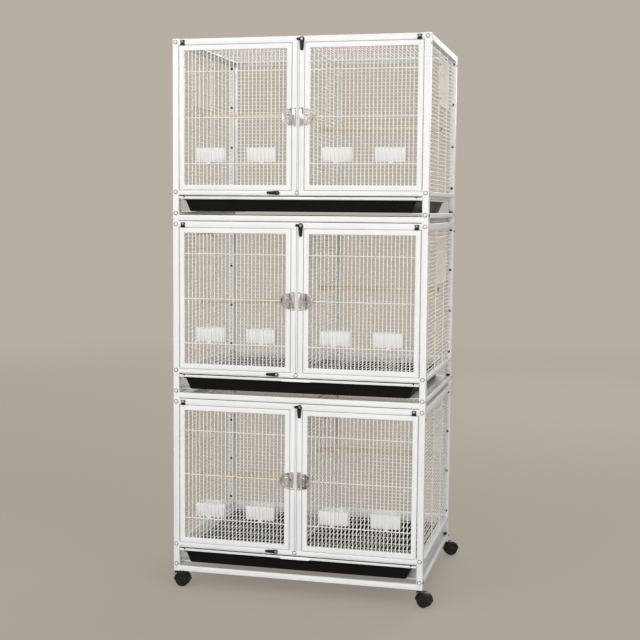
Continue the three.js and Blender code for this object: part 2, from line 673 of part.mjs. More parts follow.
const CLIP_CURVE = 6;
const TRAY_CLIP_RADIUS = LOWER_RAIL_HEIGHT / 2 - SEAT_GAP;
const DIVIDER_CLIP_RADIUS = STILE_WIDTH / 2 - SEAT_GAP;

// ---------------------------------------------------------------- casters
const AXLE_HEIGHT = WHEEL_RADIUS * Math.cos(Math.PI / WHEEL_SIDES); // the wheels stand on a flat
const HOOD_INNER = WHEEL_RADIUS + RUN_GAP;
const HOOD_OUTER = HOOD_INNER + HOOD_THICKNESS;

// A caster's frame of reference: the swivel line is x = 0, y = 0, and the wheels trail along +X.
function casterFork() {
  const hood = new THREE.Shape();
  hood.absarc(CASTER_TRAIL, AXLE_HEIGHT, HOOD_OUTER, 0, Math.PI, false);
  hood.closePath();
  const seat = CASTER_HEIGHT - SEAT_GAP;
  const halfHood = HOOD_WIDTH / 2;
  const shell = join([
    plateAlongY(hood, -halfHood, halfHood, HOOD_CURVE),
    roundAlongZ(NECK_RADIUS, 0, 0, AXLE_HEIGHT + NECK_RADIUS, seat, PIN_SIDES),
    roundAlongZ(STEM_RADIUS, 0, 0, seat - BITE, POST_BOTTOM + STEM_LENGTH, PIN_SIDES),
  ]);
  const wheelSpace = roundAlongY(
    HOOD_INNER, CASTER_TRAIL, -halfHood - RUN_GAP, halfHood + RUN_GAP, AXLE_HEIGHT, WHEEL_SIDES,
  );
  const half = WEB_THICKNESS / 2;
  const web = block(
    CASTER_TRAIL - WEB_WIDTH / 2,
    CASTER_TRAIL + WEB_WIDTH / 2,
    -half,
    half,
    AXLE_HEIGHT - WEB_WIDTH / 2,
    AXLE_HEIGHT + HOOD_INNER + HOOD_THICKNESS / 2,
  );
  const hole = roundAlongY(
    AXLE_RADIUS + TURN_GAP, CASTER_TRAIL, -half - RUN_GAP, half + RUN_GAP, AXLE_HEIGHT, PIN_SIDES,
  );
  return shell.subtract(wheelSpace).add(web).subtract(hole);
}

// The two wheels on their axle. The axle is the line x = 0, z = 0.
function wheelPair() {
  const inner = WHEEL_HUB_GAP / 2;
  const outer = inner + WHEEL_WIDTH;
  const wheels = [-1, 1].map((side) =>
    roundAlongY(WHEEL_RADIUS, 0, side * inner, side * outer, 0, WHEEL_SIDES),
  );
  const reach = inner + BITE;
  return join([...wheels, roundAlongY(AXLE_RADIUS, 0, -reach, reach, 0, PIN_SIDES)]);
}

// ---------------------------------------------------------------- assembly
const cage = new THREE.Group();

function place(parent, solid, name, material, x = 0, y = 0, z = 0) {
  const mesh = meshOf(solid, name, material);
  mesh.position.set(x, y, z);
  parent.add(mesh);
  return mesh;
}

function addCasters() {
  const fork = casterFork();
  const wheels = wheelPair();
  for (const [corner, degrees] of Object.entries(CASTER_ANGLES)) {
    const [end, side] = corner.split('_');
    const caster = new THREE.Group();
    const y = (end === 'front' ? -1 : 1) * (OUTER_Y - POST_SIZE / 2);
    caster.position.set(HANDS[side] * (OUTER_X - POST_SIZE / 2), y, 0);
    caster.rotation.z = THREE.MathUtils.degToRad(degrees);
    place(caster, fork, `caster_fork_${corner}`, blackPlastic);
    place(caster, wheels, `caster_wheels_${corner}`, blackPlastic, CASTER_TRAIL, 0, AXLE_HEIGHT);
    cage.add(caster);
  }
}

function addDoor(tier, tierName, side) {
  const hand = HANDS[side];
  const inward = -hand;
  const leaf = new THREE.Group();
  leaf.position.set(hand * HINGE_X, HINGE_Y, 0);
  place(leaf, door(inward), `door_${tierName}_${side}`, wireWhite);
  place(leaf, latch(inward), `latch_${tierName}_${side}`, chrome, inward * LATCH_X, 0, DOOR_MIDDLE);
  const middle = (DOOR_CLEAR[0] + DOOR_CLEAR[1]) / 2;
  const offset = CUP_OFFSET_GAPS * DOOR_WIRE_PITCH;
  const seats = { outer: middle - offset, inner: middle + offset };
  for (const [seat, x] of Object.entries(seats)) {
    place(leaf, cup(), `cup_${tierName}_${side}_${seat}`, cupPlastic, inward * x, 0, 0);
  }
  tier.add(leaf);
}

function addTier(tierName, index) {
  const tier = new THREE.Group();
  tier.position.z = tierTop(index);
  place(tier, roofPanel(), `roof_${tierName}`, wireWhite);
  place(tier, divider(), `divider_${tierName}`, wireWhite);
  place(tier, grate(), `grate_${tierName}`, wireWhite);
  place(tier, tray(), `tray_${tierName}`, blackPlastic);
  for (const side of Object.keys(HANDS)) {
    addDoor(tier, tierName, side);
  }
  const dividerClip = turningClip(DIVIDER_CLIP_RADIUS, true);
  const clipX = DIVIDER_SLOT / 2 + STILE_WIDTH / 2;
  const topRailMiddle = DOORWAY_TOP / 2;
  const hanging = place(
    tier, dividerClip, `divider_clip_${tierName}`, blackPlastic, clipX, -OUTER_Y, topRailMiddle,
  );
  hanging.rotation.y = Math.PI / 2;
  const lowerRailMiddle = (DOORWAY_FOOT + LOWER_RAIL_FOOT) / 2;
  const trayClip = turningClip(TRAY_CLIP_RADIUS);
  const aside = place(
    tier, trayClip, `tray_clip_${tierName}`, blackPlastic, TRAY_CLIP_X, -OUTER_Y, lowerRailMiddle,
  );
  aside.rotation.y = Math.PI;
  cage.add(tier);
}

// A side panel with its hatches, turned about the cage's middle to the side it closes.
function addSide(side, turn) {
  const panel = new THREE.Group();
  panel.rotation.z = turn;
  place(panel, sidePanel(), `side_panel_${side}`, frameWhite);
  const hingeY = HATCH_Y[1] + HATCH_OVERLAP - HATCH_BAR / 2;
  TIER_NAMES.forEach((tierName, index) => {
    const name = `nest_hatch_${tierName}_${side}`;
    place(panel, nestHatch(), name, wireWhite, -HATCH_HINGE_X, hingeY, tierTop(index));
  });
  cage.add(panel);
}

place(cage, frontFrame(), 'front_frame', frameWhite);
place(cage, backFrame(), 'back_frame', frameWhite);
addSide('left', 0);
addSide('right', Math.PI);
TIER_NAMES.forEach(addTier);
addCasters();

export default cage;
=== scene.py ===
"""Looks for a three tier canary breeding cage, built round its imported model.

Sizes are in millimetres in the row's own frame: +X right, the doors face -Y, +Z up, the floor at 0.
"""

import json
import logging
import math
from dataclasses import dataclass, field
from enum import Enum
from typing import ClassVar, Iterable, Sequence

import bmesh
import bpy
from mathutils import Matrix, Vector


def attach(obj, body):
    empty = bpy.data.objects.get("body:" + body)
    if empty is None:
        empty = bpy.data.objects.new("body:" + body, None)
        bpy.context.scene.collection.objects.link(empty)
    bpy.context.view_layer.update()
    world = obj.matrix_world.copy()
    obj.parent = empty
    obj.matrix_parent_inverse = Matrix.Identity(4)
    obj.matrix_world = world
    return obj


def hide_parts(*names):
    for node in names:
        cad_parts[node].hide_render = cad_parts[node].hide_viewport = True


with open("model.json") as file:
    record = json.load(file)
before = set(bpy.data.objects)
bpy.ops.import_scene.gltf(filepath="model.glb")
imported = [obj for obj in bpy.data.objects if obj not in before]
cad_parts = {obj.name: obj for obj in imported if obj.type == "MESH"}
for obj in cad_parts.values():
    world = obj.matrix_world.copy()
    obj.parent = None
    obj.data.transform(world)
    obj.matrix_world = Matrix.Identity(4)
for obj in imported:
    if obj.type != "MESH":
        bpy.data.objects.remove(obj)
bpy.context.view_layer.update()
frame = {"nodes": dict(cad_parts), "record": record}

LOG = logging.getLogger("canary_cage")
MM = 0.001
WIRE_SIDES = 8

# The angles in degrees past which an edge stays sharp, on solids and on wires and screws.
SOLID_CREASE = 38.0
GROWN_CREASE = 60.0

Point = Sequence[float]
Pair = tuple[float, float]
Span = tuple[float, float]
Triple = tuple[float, float, float]
Outline = list[Pair]
Places = tuple[float, float, int]


class Side(Enum):
    """The two hands of the cage, as seen from the doors."""

    LEFT = "left"
    RIGHT = "right"

    @property
    def sign(self) -> int:
        """-1 on the left and +1 on the right."""
        return -1 if self is Side.LEFT else 1

    @property
    def turn(self) -> Matrix:
        """Turns what is built for the left panel to this side."""
        return Matrix.Rotation(0.0 if self is Side.LEFT else math.pi, 4, "Z")


class Tier(Enum):
    """The three tiers, from the top down."""

    TOP = "top"
    MIDDLE = "middle"
    BOTTOM = "bottom"

    @property
    def index(self) -> int:
        """0 for the top tier."""
        return list(Tier).index(self)


class Plane(Enum):
    """A flat panel's plane; the third axis is across it."""

    FRONT = "XZ"
    SIDE = "YZ"
    FLOOR = "XY"

    def at(self, u: float, v: float, w: float) -> Vector:
        """Turns two places in the plane and one across it into a point."""
        places = {"XZ": (u, w, v), "YZ": (w, u, v), "XY": (u, v, w)}
        return Vector(places[self.value])


# ---------------- the cage's shared sizes


@dataclass(frozen=True)
class Layout:
    """Sizes that the sub-assemblies share. Levels below 0 are counted down from a tier's top."""

    width: float = 760.0
    depth: float = 560.0
    post: float = 18.0
    rail_depth: float = 16.0
    post_foot: float = 47.0
    top: float = 1631.5
    pitch: float = 528.5
    top_rail: float = -18.0
    doorway_foot: float = -438.0
    lower_rail: float = -450.5
    tray_bay_foot: float = -499.0
    base_top: float = -510.0
    base_foot: float = -526.5
    bolt_levels: tuple[float, ...] = (-9.0, -442.7, -504.85)
    slot: float = 6.0
    stile: float = 15.0
    wire_radius: float = 1.2
    model_pitch: float = 46.0
    wires_each: int = 4
    layer: float = 1.05
    bite: float = 1.5

    def level(self, tier: Tier) -> float:
        """Height of a tier's top rail's upper face."""
        return self.top - tier.index * self.pitch

    @property
    def outer_x(self) -> float:
        """Half the width over the posts."""
        return self.width / 2

    @property
    def outer_y(self) -> float:
        """Half the depth over the posts."""
        return self.depth / 2

    @property
    def post_x(self) -> float:
        """Inner faces of the posts, across."""
        return self.outer_x - self.post

    @property
    def post_y(self) -> float:
        """Inner faces of the posts, front to back."""
        return self.outer_y - self.post

    @property
    def post_middle_x(self) -> float:
        """Middle of the posts, across."""
        return self.outer_x - self.post / 2

    @property
    def post_middle_y(self) -> float:
        """Middle of the posts, front to back."""
        return self.outer_y - self.post / 2

    @property
    def rail_x(self) -> float:
        """Inner faces of the side rails."""
        return self.outer_x - self.rail_depth

    @property
    def rail_y(self) -> float:
        """Inner faces of the front and back rails."""
        return self.outer_y - self.rail_depth


LAYOUT = Layout()


# ---------------- node trees


class Value:
    """A number in a node tree, with arithmetic that adds the Math nodes it needs."""

    def __init__(self, bench: "NodeBench", socket: bpy.types.NodeSocket) -> None:
        """Wraps one output socket.

        Args:
            bench: where new nodes are added.
            socket: the output that carries the number.
        """
        self.bench = bench
        self.socket = socket

    def _math(self, operation: str, other: object, clamp: bool = False) -> "Value":
        """Adds one Math node.

        Args:
            operation: what the node does.
            other: its second number, a plain one or a Value.
            clamp: whether the result is held between 0 and 1.

        Returns:
            The result.
        """
        settings = {"operation": operation, "use_clamp": clamp}
        node = self.bench.add("ShaderNodeMath", settings, {0: self, 1: other})
        return Value(self.bench, node.outputs[0])

    def __add__(self, other: object) -> "Value":
        """This plus another."""
        return self._math("ADD", other)

    __radd__ = __add__

    def __sub__(self, other: object) -> "Value":
        """This minus another."""
        return self._math("SUBTRACT", other)

    def __mul__(self, other: object) -> "Value":
        """This times another."""
        return self._math("MULTIPLY", other)

    def clamped(self) -> "Value":
        """This, held between 0 and 1."""
        return self._math("ADD", 0.0, clamp=True)


class NodeBench:
    """Adds nodes to one tree and joins them up."""

    def __init__(self, tree: bpy.types.NodeTree) -> None:
        """Takes over a tree.

        Args:
            tree: a material's, a world's or a geometry tree.
        """
        self.tree = tree

    def add(
        self,
        kind: str,
        settings: dict[str, object] | None = None,
        sockets: dict[str | int, object] | None = None,
    ) -> bpy.types.Node:
        """Adds one node.

        Args:
            kind: the node's type name.
            settings: its own properties, set first; "stops" fills a colour ramp.
            sockets: input name or number to a value, a socket or a Value.

        Returns:
            The new node.
        """
        node = self.tree.nodes.new(kind)
        for name, value in (settings or {}).items():
            if name == "stops":
                self._fill_ramp(node.color_ramp, value)
            else:
                setattr(node, name, value)
        for name, value in (sockets or {}).items():
            self.feed(node.inputs[name], value)
        return node

    def feed(self, target: bpy.types.NodeSocket, value: object) -> None:
        """Links or sets one input.

        Args:
            target: the input.
            value: a plain value, a socket or a Value.
        """
        if isinstance(value, Value):
            value = value.socket
        if isinstance(value, bpy.types.NodeSocket):
            self.tree.links.new(value, target)
        else:
            target.default_value = value

    @staticmethod
    def _fill_ramp(ramp: bpy.types.ColorRamp, stops: Sequence[tuple[float, Point]]) -> None:
        """Writes a ramp's stops.

        Args:
            ramp: the ramp, with two stops of its own.
            stops: place and colour of each.
        """
        while len(ramp.elements) < len(stops):
            ramp.elements.new(1.0)
        for element, (place, colour) in zip(ramp.elements, stops):
            element.position = place
            element.color = (*colour, 1.0)


class Paintwork(NodeBench):
    """A material's tree, with the patterns that the finishes share."""

    def __init__(self, name: str) -> None:
        """Starts a material with only a Principled surface.

        Args:
            name: the material's name.
        """
        self.material = bpy.data.materials.new(name)
        self.material.use_nodes = True
        super().__init__(self.material.node_tree)
        self.tree.nodes.clear()
        self.surface = self.add("ShaderNodeBsdfPrincipled")
        output = self.add("ShaderNodeOutputMaterial")
        self.tree.links.new(self.surface.outputs[0], output.inputs[0])
        self.place = self.add("ShaderNodeTexCoord").outputs["Object"]

    def speckle(
        self, scale: float, detail: float = 2.0, stretch: Point = (1, 1, 1), rough: float = 0.5
    ) -> Value:
        """Noise between 0 and 1.

        Args:
            scale: how many patches to the metre.
            detail: how many finer layers.
            stretch: how much each axis is squeezed.
            rough: how strong the finer layers are.

        Returns:
            The noise.
        """
        mapped = self.add("ShaderNodeMapping", None, {"Vector": self.place, "Scale": stretch})
        noise = self.add(
            "ShaderNodeTexNoise",
            None,
            {"Vector": mapped.outputs[0], "Scale": scale, "Detail": detail, "Roughness": rough},
        )
        return Value(self, noise.outputs["Fac"])

    def ramp(self, amount: Value, stops: Sequence[tuple[float, Point]]) -> bpy.types.NodeSocket:
        """Turns a number into a colour.

        Args:
            amount: the number.
            stops: place and colour of each stop.

        Returns:
            The colour socket.
        """
        return self.add("ShaderNodeValToRGB", {"stops": stops}, {"Fac": amount}).outputs["Color"]

    def shades(self, amount: Value, colour: Point, *stops: Pair) -> bpy.types.NodeSocket:
        """Turns a number into darker and lighter shades of one colour.

        Args:
            amount: the number.
            colour: the colour.
            stops: place of each shade, and how many times as bright as the colour it is.

        Returns:
            The colour socket.
        """
        return self.ramp(amount, [(place, tinted(colour, factor)) for place, factor in stops])

    def relief(self, height: Value, depth: float, strength: float) -> None:
        """Gives the surface a fine relief.

        Args:
            height: the relief's height, 0 to 1.
            depth: how deep it is, in metres.
            strength: how strongly it shows.
        """
        bump = self.add(
            "ShaderNodeBump", None, {"Height": height, "Distance": depth, "Strength": strength}
        )
        self.feed(self.surface.inputs["Normal"], bump.outputs[0])

    def set(self, **sockets: object) -> None:
        """Feeds the surface's inputs.

        Args:
            sockets: input name, with underscores for spaces, to its value.
        """
        for name, value in sockets.items():
            self.feed(self.surface.inputs[name.replace("_", " ")], value)


def tinted(colour: Point, factor: float) -> Triple:
    """A colour made lighter or darker by a factor."""
    return tuple(min(1.0, part * factor) for part in colour)


# ---------------- finishes


@dataclass(frozen=True)
class Finish:
    """One material of the cage. Each kind says how it is painted."""

    name: str
    slot: str
    colour: Triple
    roughness: float

    _made: ClassVar[dict[str, bpy.types.Material]] = {}

    def material(self) -> bpy.types.Material:
        """Paints the finish the first time it is asked for.

        Returns:
            Its material.
        """
        if self.name not in Finish._made:
            work = Paintwork(self.name)
            self.paint(work)
            Finish._made[self.name] = work.material
        return Finish._made[self.name]

    def paint(self, work: Paintwork) -> None:
        """Fills the material's tree.

        Args:
            work: the tree to fill.
        """
        raise NotImplementedError


@dataclass(frozen=True)
class PowderCoat(Finish):
    """Baked powder paint: satin, with a fine orange peel and a little dulling."""

    peel_scale: float = 620.0
    peel_depth: float = 0.00005
    dulling: float = 0.22

    def paint(self, work: Paintwork) -> None:
        """Orange peel relief, faint cloudiness in colour and gloss.

        Args:
            work: the tree to fill.
        """
        cloud = work.speckle(9.0, 3.0)
        dulled = work.speckle(55.0, 4.0)
        mixed = cloud * 0.7 + dulled * 0.3
        work.set(
            Base_Color=work.shades(mixed, self.colour, (0.32, 0.955), (0.55, 1.0), (0.8, 1.02)),
            Roughness=self.roughness + (dulled - 0.5) * self.dulling,
            Coat_Weight=0.12,
            Coat_Roughness=0.25,
        )
        work.relief(work.speckle(self.peel_scale, 1.0), self.peel_depth, 0.5)


@dataclass(frozen=True)
class MouldedPlastic(Finish):
    """Injection moulded plastic: fine grain, a cloudy gloss and a few pale scuffs."""

    grain_scale: float = 900.0
    grain_depth: float = 0.00004
    scuff: float = 0.06
    specular: float = 0.32

    def paint(self, work: Paintwork) -> None:
        """Grain relief, uneven gloss and scuffs along the faces.

        Args:
            work: the tree to fill.
        """
        cloud = work.speckle(14.0, 4.0)
        scuffs = (work.speckle(42.0, 6.0, (1.0, 1.0, 3.5), 0.7) * 4.0 - 2.35).clamped()
        paleness = (cloud * 0.8 + scuffs * self.scuff * 3.0).clamped()
        work.set(
            Base_Color=work.shades(paleness, self.colour, (0.2, 0.8), (0.6, 1.0), (1.0, 1.9)),
            Roughness=self.roughness + (cloud - 0.5) * 0.18 + scuffs * 0.12,
            Specular_IOR_Level=self.specular,
        )
        work.relief(work.speckle(self.grain_scale, 2.0), self.grain_depth, 0.45)


@dataclass(frozen=True)
class PlatedMetal(Finish):
    """Plated steel: bright, with fine brushing, and dark upright streaks painted into its colour as a
    painted reflection of a room.
    """

    brushing: Triple = (1.0, 1.0, 1.0)

    def paint(self, work: Paintwork) -> None:
        """Brushed relief, a painted reflection as dark upright streaks in the colour, and a patchy
        gloss.

        Args:
            work: the tree to fill.
        """
        brushed = work.speckle(420.0, 3.0, self.brushing)
        spots = work.speckle(70.0, 4.0)
        # Painted reflection: upright streaks, with a fifth of the dull spots, darken the base colour in
        # bands, standing in for a room mirrored in the plate.
        painted_reflection_streaks = work.speckle(75.0, 2.0, (1.0, 1.0, 0.2))
        mirrored = painted_reflection_streaks * 0.8 + spots * 0.2
        work.set(
            Base_Color=work.shades(mirrored, self.colour, (0.4, 0.16), (0.46, 0.7), (0.6, 1.1)),
            Metallic=1.0,
            Roughness=self.roughness + brushed * 0.1 + (spots - 0.5) * 0.12,
        )
        work.relief(brushed, 0.00002, 0.3)


@dataclass(frozen=True)
class MilkyPlastic(Finish):
    """White plastic that lets a little light through, as feed cups have."""

    def paint(self, work: Paintwork) -> None:
        """Soft shading with faint flow marks.

        Args:
            work: the tree to fill.
        """
        flow = work.speckle(60.0, 3.0, (1.0, 1.0, 0.35))
        work.set(
            Base_Color=work.shades(flow, self.colour, (0.3, 0.95), (0.7, 1.0)),
            Roughness=self.roughness + (flow - 0.5) * 0.1,
            Subsurface_Weight=0.25,
            Subsurface_Radius=(0.01, 0.01, 0.011),
            Subsurface_Scale=0.4,
        )
        work.relief(work.speckle(300.0, 2.0), 0.00003, 0.3)


@dataclass(frozen=True)
class PlanedWood(Finish):
    """Bare planed wood with its grain along X."""

    dark: Triple = (0.66, 0.50, 0.32)

    def paint(self, work: Paintwork) -> None:
        """Long grain lines, pores and a slight relief.

        Args:
            work: the tree to fill.
        """
        wobble = work.speckle(9.0, 3.0, (1.0, 4.0, 4.0))
        lines = work.speckle(60.0, 5.0, (0.12, 4.0, 4.0), 0.65)
        pores = work.speckle(520.0, 2.0, (0.08, 1.0, 1.0))
        grain = (wobble * 0.35 + lines * 0.65).clamped()
        stops = [(0.3, self.dark), (0.5, tinted(self.colour, 0.84)), (0.68, self.colour)]
        work.set(
            Base_Color=work.ramp(grain, stops), Roughness=self.roughness + (lines - 0.5) * 0.2
        )
        work.relief(grain * 0.7 + pores * 0.3, 0.0002, 0.5)


FRAME_WHITE = PowderCoat("frame_white", "white_powder_coat", (0.88, 0.88, 0.875), 0.36)
WIRE_CREAM = PowderCoat("wire_cream", "coated_wire", (0.91, 0.88, 0.82), 0.34, 900.0, 0.00003)
BLACK_PLASTIC = MouldedPlastic("black_plastic", "black_plastic", (0.014, 0.013, 0.013), 0.34)
TRAY_BLACK = MouldedPlastic(
    "tray_black",
    "black_plastic",
    (0.007, 0.006, 0.0055),
    0.46,
    grain_scale=1200.0,
    grain_depth=0.00003,
    scuff=0.03,
    specular=0.1,
)
WHEEL_BLACK = MouldedPlastic(
    "wheel_black", "black_plastic", (0.010, 0.010, 0.011), 0.42, grain_scale=700.0, grain_depth=0.00006
)
# Both plated finishes carry painted reflection streaks in their base colour.
CHROME = PlatedMetal("chrome_plate", "chrome", (0.88, 0.88, 0.87), 0.2, (1.0, 1.0, 0.1))
ZINC = PlatedMetal("zinc_plate", "chrome", (0.66, 0.66, 0.66), 0.26)
CUP_WHITE = MilkyPlastic("cup_white", "cup_plastic", (0.90, 0.91, 0.92), 0.24)
PERCH_WOOD = PlanedWood("perch_wood", "coated_wire", (0.88, 0.76, 0.58), 0.55)


# ---------------- outlines and spacings


def circle(centre: Vector, along: Vector, across: Vector, radius: float, sides: int) -> list[Vector]:
    """Points round a circle in space.

    Args:
        centre: its middle.
        along: the direction that it faces.
        across: the direction of its first point.
        radius: of the circle.
        sides: how many points it has.

    Returns:
        The points in order.
    """
    up = along.cross(across)
    turns = [2 * math.pi * i / sides for i in range(sides)]
    return [centre + radius * (math.cos(turn) * across + math.sin(turn) * up) for turn in turns]


def arc(centre: Pair, reach: Pair, start: float, sweep: float, steps: int) -> Outline:
    """Points along a circle or ellipse, or along a stretch of one.

    Args:
        centre: its middle.
        reach: its half axes; a negative one mirrors it.
        start: the angle at which it starts, in degrees from the first axis.
        sweep: how many degrees it goes on.
        steps: how many stretches the points divide it into.

    Returns:
        The points, with both ends.
    """
    turns = [math.radians(start + sweep * i / steps) for i in range(steps + 1)]
    (u, v), (reach_u, reach_v) = centre, reach
    return [(u + reach_u * math.cos(turn), v + reach_v * math.sin(turn)) for turn in turns]


def rounded_rectangle(u: Span, v: Span, radius: float, steps: int) -> Outline:
    """Corners of a rectangle with rounded corners.

    Args:
        u: its edges along the first axis.
        v: its edges along the second.
        radius: of its corners.
        steps: points in each corner, less one.

    Returns:
        The points in order.
    """
    (u0, u1), (v0, v1) = sorted(u), sorted(v)
    radius = min(radius, (u1 - u0) * 0.49, (v1 - v0) * 0.49)
    centres = (
        (u1 - radius, v1 - radius),
        (u0 + radius, v1 - radius),
        (u0 + radius, v0 + radius),
        (u1 - radius, v0 + radius),
    )
    points: Outline = []
    for quarter, centre in enumerate(centres):
        points += arc(centre, (radius, radius), 90 * quarter, 90, steps)
    return points


def widened(span: Span, margin: float) -> Span:
    """A span with a margin added at both ends."""
    return span[0] - margin, span[1] + margin


def divided(span: Span, gaps: int) -> Places:
    """Divides a span into equal gaps.

    Args:
        span: from where to where.
        gaps: how many gaps.

    Returns:
        The first place, the spacing and how many places there are between the ends.
    """
    step = (span[1] - span[0]) / gaps
    return span[0] + step, step, gaps - 1


def close_set(span: Span) -> Places:
    """Divides a span into the mesh's fine gaps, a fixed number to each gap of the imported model."""
    return divided(span, LAYOUT.wires_each * round(abs(span[1] - span[0]) / LAYOUT.model_pitch))


def evenly(span: Span, pitch: float) -> Places:
    """Divides a span evenly at about a pitch."""
    return divided(span, max(2, round(abs(span[1] - span[0]) / pitch)))


# ---------------- mesh making


class MeshSketch:
    """Collects solids in millimetres and turns them into one mesh in metres."""

    def __init__(self) -> None:
        """Starts empty."""
        self.shape = bmesh.new()

    def bar(self, low: Point, high: Point, round_over: float = 1.2, steps: int = 2) -> None:
        """Adds a block with rounded edges.

        Args:
            low: one corner.
            high: the opposite corner.
            round_over: radius of its edges.
            steps: facets in each rounded edge.
        """
        lo = Vector(tuple(map(min, low, high)))
        hi = Vector(tuple(map(max, low, high)))
        places = [(x, y, z) for x in (lo.x, hi.x) for y in (lo.y, hi.y) for z in (lo.z, hi.z)]
        corners = [self.shape.verts.new(place) for place in places]
        quads = ((0, 1, 3, 2), (4, 6, 7, 5), (0, 4, 5, 1), (2, 3, 7, 6), (0, 2, 6, 4), (1, 5, 7, 3))
        faces = [self.shape.faces.new([corners[i] for i in quad]) for quad in quads]
        limit = 0.45 * min(hi - lo)
        self._soften({edge for face in faces for edge in face.edges}, min(round_over, limit), steps)

    def _soften(self, edges: Iterable[bmesh.types.BMEdge], radius: float, steps: int) -> None:
        """Rounds edges over.

        Args:
            edges: the edges.
            radius: of the rounding.
            steps: facets in it; nothing is done with none.
        """
        if radius > 0 and steps > 0:
            bmesh.ops.bevel(
                self.shape,
                geom=list(edges),
                offset=radius,
                offset_type="OFFSET",
                segments=steps,
                profile=0.5,
                affect="EDGES",
                clamp_overlap=True,
            )

    def loft(self, rings: Sequence[Sequence[Point]], looped: bool = False) -> None:
        """Skins closed outlines one after another.

        Args:
            rings: outlines with the same number of points.
            looped: whether the last joins the first; otherwise both ends are closed.
        """
        rows = [[self.shape.verts.new(point) for point in ring] for ring in rings]
        count = len(rows[0])
        pairs = list(zip(rows, rows[1:])) + ([(rows[-1], rows[0])] if looped else [])
        for near, far in pairs:
            for i in range(count):
                j = (i + 1) % count
                self.shape.faces.new((near[i], near[j], far[j], far[i]))
        if not looped:
            self.shape.faces.new(list(reversed(rows[0])))
            self.shape.faces.new(rows[-1])

    def turned(self, profile: Sequence[Pair], origin: Point, axis: Point, sides: int = 24) -> None:
        """Adds a round solid.

        Args:
            profile: radius and distance along the axis, from one end to the other.
            origin: where distance is 0.
            axis: which way it points.
            sides: facets round it.
        """
        along = Vector(axis).normalized()
        across = along.orthogonal().normalized()
        middle = Vector(origin)
        rings = [circle(middle + along * place, along, across, r, sides) for r, place in profile]
        self.loft(rings)

    def rod(self, start: Point, end: Point, radius: float, sides: int = 12, ease: float = 0.4) -> None:
        """Adds a straight rod with eased ends.

        Args:
            start: the middle of one end.
            end: the middle of the other.
            radius: half its thickness.
            sides: facets round it.
            ease: how much its ends' edges are broken.
        """
        run = Vector(end) - Vector(start)
        length = run.length
        ease = min(ease, radius * 0.6, length * 0.3)
        profile = [(radius - ease, 0), (radius, ease), (radius, length - ease), (radius - ease, length)]
        self.turned(profile, start, run, sides)

    def bent_rod(
        self, path: Sequence[Point], radius: float, sides: int = 8, closed: bool = False
    ) -> None:
        """Adds a rod that follows a path.

        Args:
            path: the points of its middle line.
            radius: half its thickness.
            sides: facets round it.
            closed: whether the last point joins the first.
        """
        points = [Vector(p) for p in path]
        count = len(points)
        rings: list[list[Vector]] = []
        across: Vector | None = None
        for i, point in enumerate(points):
            before = points[i - 1] if closed or i else points[i]
            after = points[(i + 1) % count] if closed or i < count - 1 else points[i]
            along = (after - before).normalized()
            if across is None:
                across = along.orthogonal().normalized()
            across = (across - along * across.dot(along)).normalized()
            rings.append(circle(point, along, across, radius, sides))
        self.loft(rings, looped=closed)

    def plate(
        self,
        outline: Sequence[Pair],
        plane: Plane,
        span: Span,
        round_over: float = 0.6,
        steps: int = 2,
    ) -> None:
        """Adds a flat plate of any outline.

        Args:
            outline: its corners in the plane.
            plane: which plane it lies in.
            span: where it starts and ends across the plane.
            round_over: radius of the edges of its two faces.
            steps: facets in each rounded edge.
        """
        near = [self.shape.verts.new(plane.at(u, v, span[0])) for u, v in outline]
        far = [self.shape.verts.new(plane.at(u, v, span[1])) for u, v in outline]
        ends = [self.shape.faces.new(list(reversed(near))), self.shape.faces.new(far)]
        for i in range(len(outline)):
            j = (i + 1) % len(outline)
            self.shape.faces.new((near[i], near[j], far[j], far[i]))
        self._soften({edge for face in ends for edge in face.edges}, round_over, steps)

    def mitred(
        self, plane: Plane, u: Span, v: Span, w: Span, width: float, round_over: float = 1.4
    ) -> None:
        """Adds a rectangle of tube with mitred corners.

        Args:
            plane: which plane it lies in.
            u: its outer edges along the plane's first axis.
            v: its outer edges along the plane's second axis.
            w: where the tube starts and ends across the plane.
            width: the tube's width in the plane.
            round_over: radius of the tube's long edges.
        """
        low, high = sorted(w)
        section = rounded_rectangle((0.0, width), (low, high), round_over, 3)
        (u0, u1), (v0, v1) = u, v
        corners = ((u0, v0, 1, 1), (u1, v0, -1, 1), (u1, v1, -1, -1), (u0, v1, 1, -1))
        rings = []
        for cu, cv, way_u, way_v in corners:
            rings.append([plane.at(cu + way_u * a, cv + way_v * a, b) for a, b in section])
        self.loft(rings, looped=True)

    def moved(self, matrix: Matrix) -> None:
        """Turns and moves everything added so far."""
        bmesh.ops.transform(self.shape, matrix=matrix, verts=self.shape.verts)

    def piece(self, name: str, finish: Finish) -> bpy.types.Object:
        """Makes the object.

        Args:
            name: its name.
            finish: what it is finished in.

        Returns:
            The object, at the origin, with its place in its mesh.
        """
        bmesh.ops.recalc_face_normals(self.shape, faces=self.shape.faces)
        bmesh.ops.scale(self.shape, vec=(MM, MM, MM), verts=self.shape.verts)
        mesh = bpy.data.meshes.new(name)
        self.shape.to_mesh(mesh)
        self.shape.free()
        return dressed(mesh, name, finish, SOLID_CREASE)


def dressed(mesh: bpy.types.Mesh, name: str, finish: Finish, crease: float) -> bpy.types.Object:
    """Shades a mesh, gives it a finish and puts it in the scene.

    Args:
        mesh: a mesh in metres, in the row's frame.
        name: the object's name.
        finish: what it is finished in.
        crease: the angle in degrees past which an edge stays sharp.

    Returns:
        The new object.
    """
    mesh.name = name
    mesh.materials.clear()
    mesh.materials.append(finish.material())
    mesh.polygons.foreach_set("use_smooth", [True] * len(mesh.polygons))
    mesh.set_sharp_from_angle(angle=math.radians(crease))
    made = bpy.data.objects.new(name, mesh)
    bpy.context.scene.collection.objects.link(made)
    return made


# ---------------- repeated pieces


